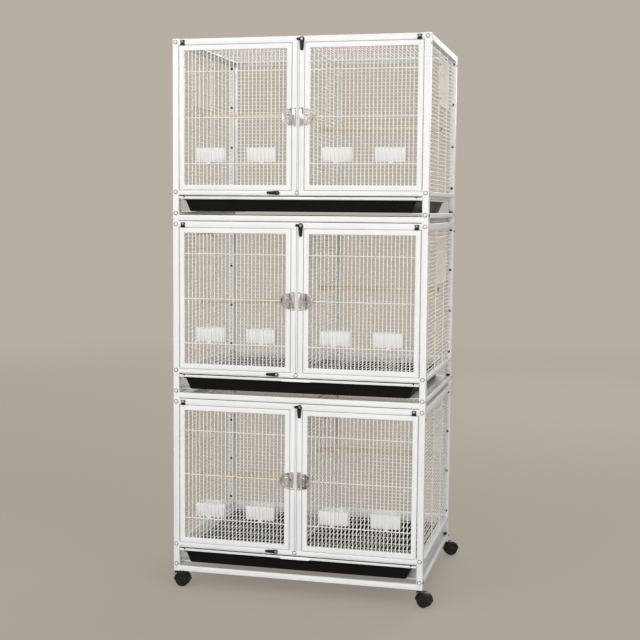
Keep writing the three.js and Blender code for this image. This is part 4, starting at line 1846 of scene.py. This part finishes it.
@dataclass
class Door(SubAssembly):
    """A wire door with its latch and its two cups."""

    tier: Tier
    side: Side
    hinge_x: float = 352.0
    middle_y: float = -274.0
    leaf: float = 340.0
    tube: float = 15.0
    half_thickness: float = 6.0
    top: float = -19.0
    foot: float = -437.0
    pin_radius: float = 2.5
    pin_length: float = 7.0
    wire_count: int = 26
    wire_radius: float = 1.5
    bar_radius: float = 1.4
    bar_offset: float = 2.6
    bar_pitch: float = 133.0
    lap: float = 2.0
    cup_offset: float = 77.5
    tab_gaps: int = 7
    latch_height: float = 48.0
    latch_reach: float = 28.0
    latch_y: Span = (-12.0, -9.0)
    tongue: float = 6.0
    tongue_reach: float = 10.0

    @property
    def name(self) -> str:
        """The door's body and node name."""
        return f"door_{self.tier.value}_{self.side.value}"

    @property
    def wire_gap(self) -> float:
        """Spacing of the upright wires."""
        return (self.leaf - 2 * self.tube) / (self.wire_count + 1)

    @property
    def up(self) -> Span:
        """The leaf's foot and head."""
        base = LAYOUT.level(self.tier)
        return base + self.foot, base + self.top

    @property
    def middle(self) -> float:
        """The leaf's middle height."""
        return LAYOUT.level(self.tier) + (self.top + self.foot) / 2

    def _x(self, from_edge: float) -> float:
        """A place across the door, from its hinge edge."""
        return self.side.sign * (self.hinge_x + self.tube / 2 - from_edge)

    def _across(self, inset: float) -> Span:
        """The two places across the door that are as far from either edge."""
        low, high = sorted((self._x(inset), self._x(self.leaf - inset)))
        return low, high

    def build(self) -> None:
        """Builds the leaf, the pins, the latch and the cups."""
        self._frame()
        self._wires()
        self._latch()
        middle = self.leaf / 2
        tab = self.tab_gaps * self.wire_gap
        for seat, sign in (("outer", -1), ("inner", 1)):
            x, tab_x = self._x(middle + sign * self.cup_offset), self._x(middle + sign * tab)
            Cup(self.tier, self.side, seat, x, tab_x, self.name).build()

    def _frame(self) -> None:
        """The mitred tube frame and its hinge pins."""
        sketch = MeshSketch()
        y = self.middle_y
        w = (y - self.half_thickness, y + self.half_thickness)
        sketch.mitred(Plane.FRONT, self._across(0), self.up, w, self.tube, 1.8)
        x = self._x(self.tube / 2)
        for z, way in ((self.up[1], 1), (self.up[0], -1)):
            start, end = z - way * self.lap, z + way * self.pin_length
            sketch.rod((x, y, start), (x, y, end), self.pin_radius, 14)
        self.keep(sketch.piece(self.name + "_frame", FRAME_WHITE), self.name, self.name)

    def _wires(self) -> None:
        """Upright wires and the three cross bars in front of them."""
        wide, up = self._across(self.tube), widened(self.up, -self.tube)
        step = self.wire_gap
        upright = WireRow.across(
            Plane.FRONT,
            (wide[0] + step, step, self.wire_count),
            widened(up, self.lap),
            self.middle_y,
            True,
            self.wire_radius,
        )
        cross = WireRow.across(
            Plane.FRONT,
            (self.middle - self.bar_pitch, self.bar_pitch, 3),
            widened(wide, self.lap),
            self.middle_y - self.bar_offset,
            False,
            self.bar_radius,
        )
        self.keep(wires(self.name + "_wires", [upright, cross]), self.name)

    def _latch(self) -> None:
        """The half-round flap with its tongue and rolled ends, its pivot, screw and finger loop."""
        middle = self.middle
        inward = -self.side.sign
        pivot = self._x(self.leaf - self.tube / 2)
        edge = pivot + inward * self.tube / 2
        tip = edge + inward * self.tongue_reach
        half = self.latch_height / 2
        low, high = middle - self.tongue, middle + self.tongue
        front, back = (self.middle_y + y for y in self.latch_y)
        outline = [(edge, middle - half), (edge, low), (tip, low), (tip, high), (edge, high)]
        outline += arc((edge, middle), (-inward * self.latch_reach, half), 90, -180, 20)[:-1]
        sketch = MeshSketch()
        sketch.plate(outline, Plane.FRONT, (front, back), 0.8, 3)
        seat = self.middle_y - self.half_thickness - 0.3
        sketch.rod((pivot, back - 1, middle), (pivot, seat, middle), 4.0, 18)
        for end in (-1, 1):
            y, z = front - 0.6, middle + end * (half - 3.0)
            sketch.rod((edge - inward * 9, y, z), (edge + inward * 0.2, y, z), 2.2, 14)
        screw = [(4.6, 0.0), (4.6, 1.2), (3.4, 2.4), (1.6, 2.9)]
        sketch.turned(screw, (pivot, front + 0.2, middle + 8.0), (0, -1, 0), 20)
        loop = arc((pivot - inward * 4.0, middle - 9.5), (inward * 6.2, -7.2), 240, -300, 15)
        sketch.bent_rod([(x, front - 1.1, z) for x, z in loop], 1.1, 10)
        name = f"latch_{self.tier.value}_{self.side.value}"
        self.keep(sketch.piece(name + "_plate", CHROME), name, name)


@dataclass
class Cup(SubAssembly):
    """A half-round feed cup that hangs by a tab on the door's lowest cross bar."""

    tier: Tier
    side: Side
    seat: str
    x: float
    tab_x: float
    body: str
    width: float = 92.0
    depth: float = 48.0
    height: float = 42.0
    wall: float = 2.0
    foot: float = -356.0
    back: float = -272.5
    straight: float = 0.45
    corner: float = 2.0
    tab_width: float = 6.0
    tab_y: Span = (-278.0, -269.0)
    tab_z: Span = (-3.6, 1.4)

    def _outline(self, inset: float, level: float) -> list[Vector]:
        """One outline of the cup.

        Args:
            inset: how far it is drawn in.
            level: its height.

        Returns:
            Its points.
        """
        half = self.width / 2 - inset
        back = self.back + inset
        depth = self.depth - inset - inset
        bend = back + depth * self.straight
        corner, side = self.corner, (back + bend) / 2
        points = [(-half + corner, back), (half - corner, back), (half, back + corner), (half, side)]
        points += arc((0, bend), (half, depth * (1 - self.straight)), 0, 180, 20)
        points += [(-half, side), (-half, back + corner)]
        return [Vector((self.x + u, v, level)) for u, v in points]

    def build(self) -> None:
        """Builds the shell with its rolled rim, and the tab."""
        foot = LAYOUT.level(self.tier) + self.foot
        top = foot + self.height
        wall = self.wall
        profile = (
            (3.2, foot),
            (2.4, foot + 1.2),
            (1.2, top - 3.0),
            (0.0, top - 2.4),
            (0.0, top - 0.5),
            (0.5, top),
            (wall - 0.3, top),
            (wall + 0.2, top - 0.6),
            (wall + 2.4, foot + wall + 1.0),
            (wall + 3.4, foot + wall),
        )
        sketch = MeshSketch()
        sketch.loft([self._outline(*ring) for ring in profile])
        x0, x1 = widened((self.tab_x, self.tab_x), self.tab_width / 2)
        low, high = (foot + z for z in self.tab_z)
        sketch.bar((x0, self.tab_y[0], low), (x1, self.tab_y[1], high), 0.7, 2)
        name = f"cup_{self.tier.value}_{self.side.value}_{self.seat}"
        self.keep(sketch.piece(name + "_shell", CUP_WHITE), self.body, name)


# ---------------- clips, hatches, perches


@dataclass
class TurningClip(SubAssembly):
    """A black drop-shaped clip on a pale screw."""

    name: str
    x: float
    z: float
    turn: float
    radius: float
    ear: bool = False
    length: float = 33.0
    tip_share: float = 0.66
    thickness: float = 3.0
    gap: float = 0.3
    screw: ScrewHead = ScrewHead(3.9, 0.4, 3.2, 1.4, 16)

    def build(self) -> None:
        """Builds the drop, its ear and its screw."""
        tip = self.tip_share * self.radius
        centre = self.length - tip
        lean = math.degrees(math.acos((self.radius - tip) / centre))
        outline = arc((0.0, 0.0), (self.radius, self.radius), lean, 360 - 2 * lean, 18)
        outline += arc((centre, 0.0), (tip, tip), -lean, 2 * lean, 6)
        near = -LAYOUT.outer_y - self.gap
        span = (near - self.thickness, near)
        sketch = MeshSketch()
        sketch.plate(self._placed(outline), Plane.FRONT, span, 0.9, 3)
        if self.ear:
            lobe = [(4.0, -2.0), *arc((0.0, -12.0), (4.0, -4.0), 0, 180, 10), (-4.0, -2.0)]
            sketch.plate(self._placed(lobe), Plane.FRONT, span, 0.8, 2)
        rib = [(7.5, 0.9), (7.5, -0.9), (self.length - 6, -0.5), (self.length - 6, 0.5)]
        sketch.plate(self._placed(rib), Plane.FRONT, (span[0] - 0.7, span[0] + 0.4), 0.2, 1)
        self.keep(sketch.piece(self.name + "_drop", BLACK_PLASTIC), self.name, self.name)
        place = [((self.x, span[0], self.z), (0, -1, 0))]
        self.keep(self.screw.place(self.name + "_screw", place), self.name)

    def _placed(self, outline: Outline) -> Outline:
        """Turns an outline about the screw and moves it to its place.

        Args:
            outline: its points, counted from the screw.

        Returns:
            The points in the row's frame.
        """
        turn = math.radians(self.turn)
        cos, sin = math.cos(turn), math.sin(turn)
        return [(self.x + u * cos - v * sin, self.z + u * sin + v * cos) for u, v in outline]


@dataclass
class NestHatch(SubAssembly):
    """The wire hatch over a nest opening."""

    tier: Tier
    side: Side
    x: float = 376.45
    y: Span = (-107.0, 62.0)
    z: Span = (-183.0, -41.0)
    bar: float = 3.0
    bend: float = 3.0
    pitch: float = 20.0
    hook_radius: float = 0.9
    layer: float = 0.5

    def build(self) -> None:
        """Builds the bars, the wires and the finger catch, and turns them to their side."""
        base = LAYOUT.level(self.tier)
        name = f"nest_hatch_{self.tier.value}_{self.side.value}"
        x = -self.x
        y, z = self.y, (base + self.z[0], base + self.z[1])
        half = self.bar / 2
        (y0, y1), (z0, z1) = widened(y, -half), widened(z, -half)
        corners = [(x, y0, z0), (x, y1, z0), (x, y1, z1), (x, y0, z1)]
        sketch = MeshSketch()
        sketch.bent_rod(self._rounded(corners), half, 10, closed=True)
        sketch.bent_rod(self._hook(x, y[0], z[0]), self.hook_radius, 8)
        uprights = evenly(widened(y, -self.bar), self.pitch)
        third = (z[1] - z[0]) / 3
        rows = [
            WireRow.across(Plane.SIDE, uprights, (z0, z1), x, True),
            WireRow.across(Plane.SIDE, (z[0] + third, third, 2), (y0, y1), x - self.layer, False),
        ]
        turn = self.side.turn
        sketch.moved(turn)
        self.keep(sketch.piece(name + "_bars", WIRE_CREAM), name, name)
        self.keep(wires(name + "_wires", [row.turned(turn) for row in rows]), name)

    @staticmethod
    def _hook(x: float, y: float, z: float) -> list[Point]:
        """The finger catch's middle line.

        Args:
            x: where the hatch lies.
            y: the hatch's front edge.
            z: the hatch's foot.

        Returns:
            Its points, from its lower end to its upper one.
        """
        proud = x - 2.2
        bends = ((x, 1.5, 58), (proud, -1.2, 60), (proud, -4.5, 66))
        ends = ((proud, -4.8, 78), (proud, -1.2, 84), (x, 1.5, 86))
        return [(place, y + out, z + level) for place, out, level in bends + ends]

    def _rounded(self, corners: Sequence[Point]) -> list[Vector]:
        """Rounds the corners of a closed path.

        Args:
            corners: the corners in order.

        Returns:
            Five points for each corner.
        """
        path = []
        points = [Vector(corner) for corner in corners]
        for i, here in enumerate(points):
            before = (points[i - 1] - here).normalized() * self.bend
            after = (points[(i + 1) % len(points)] - here).normalized() * self.bend
            for t in (0.0, 0.25, 0.5, 0.75, 1.0):
                path.append(here + before * (1 - t) ** 2 + after * t**2)
        return path


@dataclass
class Perch(SubAssembly):
    """A wooden perch between the side mesh and the divider."""

    tier: Tier
    side: Side
    inner_level: float
    outer_level: float
    y: float = -30.0
    radius: float = 6.0
    inner: float = 4.0
    outer: float = 369.5
    washer_x: float = 374.1
    nut_x: float = 375.6

    def build(self) -> None:
        """Builds the dowel with its necked end, and the washer and nut outside."""
        base = LAYOUT.level(self.tier)
        sign = self.side.sign
        start = Vector((sign * self.inner, self.y, base + self.inner_level))
        end = Vector((sign * self.outer, self.y, base + self.outer_level))
        run = end - start
        name = f"perch_{self.tier.value}_{self.side.value}"
        r, length = self.radius, run.length
        profile = [
            (r - 1.5, 0), (r - 0.4, 0.5), (r, 1.8), (r, length * 0.5),
            (r, length - 6), (r - 0.8, length - 5), (r - 0.8, length - 1), (r - 1.2, length),
        ]
        wood = MeshSketch()
        wood.turned(profile, start, run, 20)
        self.keep(wood.piece(name, PERCH_WOOD), "frame")
        fitting = MeshSketch()
        way = (sign, 0, 0)
        washer = [(7.0, 0), (7.4, 0.4), (7.4, 1.2), (6.6, 1.6)]
        nut = [(3.6, 0), (3.6, 2.6), (2.8, 3.2)]
        fitting.turned(washer, (sign * self.washer_x, self.y, end.z), way, 20)
        fitting.turned(nut, (sign * self.nut_x, self.y, end.z), way, 6)
        self.keep(fitting.piece(name + "_nut", ZINC), "frame")


# ---------------- casters


@dataclass
class Caster(SubAssembly):
    """A black twin-wheel caster with a hood."""

    corner: str
    x: float
    y: float
    degrees: float
    trail: float = 17.0
    wheel_radius: float = 21.4
    wheel_width: float = 8.5
    hub_gap: float = 3.5
    axle_height: float = 21.45
    axle_radius: float = 3.0
    hood_inner: float = 22.5
    hood_outer: float = 24.4
    half_hood: float = 13.0
    hood_from: float = -6.0
    hood_sweep: float = 192.0
    web_radius: float = 8.0
    spokes: int = 6
    spoke_middle: float = 12.6
    spoke_half: float = 3.6

    def _matrix(self) -> Matrix:
        """Turns and moves the caster to its post."""
        turn = Matrix.Rotation(math.radians(self.degrees), 4, "Z")
        return Matrix.Translation((self.x, self.y, 0)) @ turn

    def build(self) -> None:
        """Builds the fork with its hood, the stem, the wheels and the axle."""
        fork, wheels = f"caster_fork_{self.corner}", f"caster_wheels_{self.corner}"
        for sketch, name, finish, nodes in (
            (self._fork(), fork + "_hood", BLACK_PLASTIC, (fork, fork)),
            (self._stem(), fork + "_stem", ZINC, (fork,)),
            (self._wheels(), wheels + "_treads", WHEEL_BLACK, (wheels, wheels)),
        ):
            sketch.moved(self._matrix())
            self.keep(sketch.piece(name, finish), *nodes)

    def _fork(self) -> MeshSketch:
        """Hood, web, neck and the neck's ribs.

        Returns:
            The sketch with them.
        """
        sketch = MeshSketch()
        axle, post = self.axle_height, LAYOUT.post_foot
        inner, outer, half = self.hood_inner, self.hood_outer, self.half_hood
        edge = [(half - 2.0, outer), (half - 0.6, outer - 0.6), (half, outer - 1.6), (half, inner)]
        section = [(-w, r) for w, r in reversed(edge)] + edge
        rings = []
        for cos, sin in arc((0.0, 0.0), (1.0, 1.0), self.hood_from, self.hood_sweep, 24):
            rings.append([Vector((self.trail + r * cos, w, axle + r * sin)) for w, r in section])
        sketch.loft(rings)
        reach = self.web_radius
        web = arc((self.trail, axle), (reach, reach), 180, 180, 12)
        web += [(self.trail + reach, axle + 21.8), (self.trail - reach, axle + 21.8)]
        sketch.plate(web, Plane.FRONT, (-3.0, 3.0), 0.4, 1)
        neck = [(6.4, axle + 18.7), (8.3, axle + 20.9), (8.3, post - 1.6), (7.6, post - 0.5)]
        sketch.turned(neck, (0, 0, 0), (0, 0, 1), 24)
        rib = [(-7.6, axle + 14.0), (-2.0, axle + 22.0), (-6.4, post - 2.5)]
        for side in (-1, 1):
            sketch.plate(rib, Plane.FRONT, (side * 6.4 - 0.9, side * 6.4 + 0.9), 0.3, 1)
        return sketch

    def _stem(self) -> MeshSketch:
        """The plated stem that stands in the post.

        Returns:
            The sketch with it.
        """
        sketch = MeshSketch()
        post = LAYOUT.post_foot
        profile = [(5.6, post - 0.8), (5.6, post - 0.35), (4.9, post - 0.3), (4.9, 63.0), (3.9, 64.6)]
        sketch.turned(profile, (0, 0, 0), (0, 0, 1), 20)
        return sketch

    def _wheels(self) -> MeshSketch:
        """Two wheels with rounded treads and dished, spoked hubs, on one axle.

        Returns:
            The sketch with them.
        """
        r, gap, width = self.wheel_radius, self.hub_gap, self.wheel_width
        axle = self.axle_height
        sketch = MeshSketch()
        profile = [
            (4.4, 0.6), (r - 4.6, 0.6), (r - 4.0, 0.0), (r - 1.3, 0.0),
            (r - 0.3, 1.0), (r, 2.4), (r, width - 2.6), (r - 0.4, width - 1.1),
            (r - 1.7, width - 0.1), (r - 3.8, width), (r - 4.4, width - 0.6), (r - 5.4, width - 1.6),
            (9.0, width - 1.9), (8.2, width - 1.2), (6.6, width - 0.5), (4.0, width - 0.2),
        ]
        for side in (-1, 1):
            lined = [(radius, side * (gap + distance)) for radius, distance in profile]
            sketch.turned(lined, (self.trail, 0, axle), (0, 1, 0), 48)
            hub = Vector((self.trail, side * (gap + width - 1.7), axle))
            for i in range(self.spokes):
                turn = 2 * math.pi * i / self.spokes
                along = Vector((math.cos(turn), 0, math.sin(turn)))
                near, far = widened((self.spoke_middle, self.spoke_middle), self.spoke_half)
                sketch.rod(hub + along * near, hub + along * far, 0.9, 8)
        ends = [(self.trail, side * (gap + 2), axle) for side in (-1, 1)]
        sketch.rod(*ends, self.axle_radius, 16)
        return sketch


# ---------------- stage


@dataclass(frozen=True)
class Lamp:
    """A square soft lamp."""

    name: str
    place: Triple
    size: float
    power: float
    mirrored: bool = True

    def hang(self, target: Point) -> None:
        """Puts the lamp in the scene.

        Args:
            target: what it points at.
        """
        light = bpy.data.lights.new(self.name, "AREA")
        light.shape = "SQUARE"
        light.size = self.size
        light.energy = self.power
        lamp = bpy.data.objects.new(self.name, light)
        lamp.visible_glossy = self.mirrored
        lamp.location = self.place
        aim = Vector(target) - Vector(self.place)
        lamp.rotation_euler = aim.to_track_quat("-Z", "Y").to_euler()
        bpy.context.scene.collection.objects.link(lamp)


@dataclass
class Studio:
    """The plain floor, the soft lights and the camera, in metres."""

    eye: Triple = (0.9013, -3.6719, 1.1394)
    yaw: float = 0.2404
    pitch: float = 0.0904
    roll: float = 0.0084
    lens: float = 68.35
    ambient: float = 0.40
    backdrop: Triple = (0.47, 0.425, 0.365)
    floor_share: float = 0.5
    floor_glow: float = 0.5
    floor_reach: float = 30.0
    fade_from: float = 1.6
    fade_to: float = 7.0
    lit_point: Triple = (0.0, 0.0, 0.85)
    lamps: tuple[Lamp, ...] = (
        Lamp("key", (-3.0, -4.8, 3.4), 3.0, 88.0),
        Lamp("front", (0.5, -6.4, 1.3), 2.6, 158.0, mirrored=False),
        Lamp("fill", (4.4, -3.2, 2.0), 3.0, 74.0),
        Lamp("back", (1.0, 4.5, 3.2), 3.0, 95.0),
    )

    def build(self) -> None:
        """Sets up the stage: a level front lamp reaches the back mesh, the others shape the cage."""
        self._world()
        self._floor()
        for lamp in self.lamps:
            lamp.hang(self.lit_point)
        self._camera()
        bpy.context.scene.view_settings.view_transform = "Standard"

    @staticmethod
    def _seen_directly(bench: NodeBench) -> Value:
        """1 for rays that show the background, 0 for those that light the cage.

        Args:
            bench: where nodes are added.

        Returns:
            The number.
        """
        path = bench.add("ShaderNodeLightPath").outputs
        seen = Value(bench, path["Is Camera Ray"]) + path["Is Glossy Ray"]
        return (seen + path["Is Transmission Ray"]).clamped()

    def _world(self) -> None:
        """The backdrop's colour where it is seen, soft white light elsewhere."""
        world = bpy.data.worlds.new("studio")
        bpy.context.scene.world = world
        world.use_nodes = True
        bench = NodeBench(world.node_tree)
        bench.tree.nodes.clear()
        kind = "ShaderNodeBackground"
        light = bench.add(kind, None, {"Color": (1.0, 1.0, 1.0, 1.0), "Strength": self.ambient})
        backdrop = bench.add(kind, None, {"Color": (*self.backdrop, 1.0), "Strength": 1.0})
        either = bench.add(
            "ShaderNodeMixShader",
            None,
            {0: self._seen_directly(bench), 1: light.outputs[0], 2: backdrop.outputs[0]},
        )
        bench.add("ShaderNodeOutputWorld", None, {"Surface": either.outputs[0]})

    def _floor_material(self) -> bpy.types.Material:
        """A matt surface in the backdrop's colour that turns into the plain backdrop far away.

        Returns:
            The material.
        """
        material = bpy.data.materials.new("studio_floor")
        material.use_nodes = True
        bench = NodeBench(material.node_tree)
        bench.tree.nodes.clear()
        colour = (*self.backdrop, 1.0)
        shaded = (*tinted(self.backdrop, self.floor_share), 1.0)
        glowing = self._seen_directly(bench) * self.floor_glow
        matt = bench.add("ShaderNodeBsdfDiffuse", None, {"Color": shaded})
        glow = bench.add("ShaderNodeEmission", None, {"Color": colour, "Strength": glowing})
        both = bench.add("ShaderNodeAddShader", None, {0: matt.outputs[0], 1: glow.outputs[0]})
        place = bench.add("ShaderNodeTexCoord").outputs["Object"]
        length = bench.add("ShaderNodeVectorMath", {"operation": "LENGTH"}, {0: place})
        away = Value(bench, length.outputs["Value"]) - self.fade_from
        fade = (away * (1.0 / (self.fade_to - self.fade_from))).clamped()
        plain = bench.add("ShaderNodeEmission", None, {"Color": colour, "Strength": 1.0})
        surface = bench.add(
            "ShaderNodeMixShader", None, {0: fade, 1: both.outputs[0], 2: plain.outputs[0]}
        )
        bench.add("ShaderNodeOutputMaterial", None, {"Surface": surface.outputs[0]})
        return material

    def _floor(self) -> None:
        """A pale floor in the backdrop's colour that keeps the cage's shadow."""
        mesh = bpy.data.meshes.new("studio_floor")
        reach = self.floor_reach
        corners = [(-reach, -reach, 0), (reach, -reach, 0), (reach, reach, 0), (-reach, reach, 0)]
        mesh.from_pydata(corners, [], [(0, 1, 2, 3)])
        mesh.materials.append(self._floor_material())
        floor = bpy.data.objects.new("studio_floor", mesh)
        bpy.context.scene.collection.objects.link(floor)

    def _camera(self) -> None:
        """The camera that the photograph was fitted with."""
        data = bpy.data.cameras.new("camera")
        data.sensor_fit = "HORIZONTAL"
        data.sensor_width = 36.0
        data.lens = self.lens
        data.clip_start, data.clip_end = 0.05, 100.0
        flat = math.cos(self.pitch)
        forward = Vector(
            (-math.sin(self.yaw) * flat, math.cos(self.yaw) * flat, -math.sin(self.pitch))
        )
        level = forward.cross(Vector((0, 0, 1))).normalized()
        upright = level.cross(forward)
        right = level * math.cos(self.roll) + upright * math.sin(self.roll)
        up = upright * math.cos(self.roll) - level * math.sin(self.roll)
        turn = Matrix((right, up, -forward)).transposed()
        camera = bpy.data.objects.new("camera", data)
        camera.matrix_world = Matrix.Translation(self.eye) @ turn.to_4x4()
        bpy.context.scene.collection.objects.link(camera)
        bpy.context.scene.camera = camera


# ---------------- the whole cage


@dataclass
class CanaryCage:
    """The whole cage, in the order in which it is put together."""

    perch_levels: dict[tuple[Tier, Side], Span] = field(
        default_factory=lambda: {
            (Tier.TOP, Side.LEFT): (-205.0, -205.0),
            (Tier.TOP, Side.RIGHT): (-246.0, -249.0),
            (Tier.MIDDLE, Side.LEFT): (-244.0, -253.0),
            (Tier.MIDDLE, Side.RIGHT): (-204.0, -200.0),
            (Tier.BOTTOM, Side.LEFT): (-273.0, -280.0),
            (Tier.BOTTOM, Side.RIGHT): (-181.0, -175.0),
        }
    )
    caster_angles: dict[str, float] = field(
        default_factory=lambda: {
            "front_left": 0.0,
            "front_right": -30.0,
            "back_left": 150.0,
            "back_right": 30.0,
        }
    )
    divider_clip: Pair = (10.5, -9.0)
    tray_clip: Pair = (-59.0, -444.25)

    def _tier(self, tier: Tier) -> list[SubAssembly]:
        """The sub-assemblies of one tier.

        Args:
            tier: which.

        Returns:
            Its panels, tray, clips, doors, hatches and perches.
        """
        level = LAYOUT.level(tier)
        (divider_x, divider_z), (tray_x, tray_z) = self.divider_clip, self.tray_clip
        name = tier.value
        made: list[SubAssembly] = [
            RoofPanel(tier),
            Divider(tier),
            Grate(tier),
            Tray(tier),
            TurningClip(f"divider_clip_{name}", divider_x, level + divider_z, -90.0, 7.2, ear=True),
            TurningClip(f"tray_clip_{name}", tray_x, level + tray_z, 180.0, 5.95),
        ]
        for side in Side:
            perch = Perch(tier, side, *self.perch_levels[tier, side])
            made += [Door(tier, side), NestHatch(tier, side), perch]
        return made

    def _casters(self) -> list[SubAssembly]:
        """A caster under each post.

        Returns:
            The four casters.
        """
        made: list[SubAssembly] = []
        for corner, degrees in self.caster_angles.items():
            end, side = corner.split("_")
            x = Side(side).sign * LAYOUT.post_middle_x
            y = (-1 if end == "front" else 1) * LAYOUT.post_middle_y
            made.append(Caster(corner, x, y, degrees))
        return made

    def parts(self) -> list[SubAssembly]:
        """Every sub-assembly, from the frame to the casters."""
        tiers = [part for tier in Tier for part in self._tier(tier)]
        return [FrontFrame(), BackFrame(), *map(SidePanel, Side), *tiers, *self._casters()]

    def build(self) -> None:
        """Builds every part and reports it."""
        for part in self.parts():
            part.build()
            LOG.info("built %s", type(part).__name__)


def finish_shown_nodes() -> None:
    """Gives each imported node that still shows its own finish."""
    shown = (FRAME_WHITE, WIRE_CREAM, BLACK_PLASTIC, CHROME, CUP_WHITE)
    finishes = {finish.slot: finish for finish in shown}
    for part in frame["record"]["subparts"]:
        node = frame["nodes"][part["node"]]
        if not node.hide_render:
            for slot in node.material_slots:
                slot.material = finishes[part["material_slot"]].material()


def main() -> None:
    """Builds the stage, the cage and the finishes."""
    logging.basicConfig(level=logging.INFO, format="%(message)s")
    Studio().build()
    CanaryCage().build()
    finish_shown_nodes()


if __name__ == "__main__":
    main()
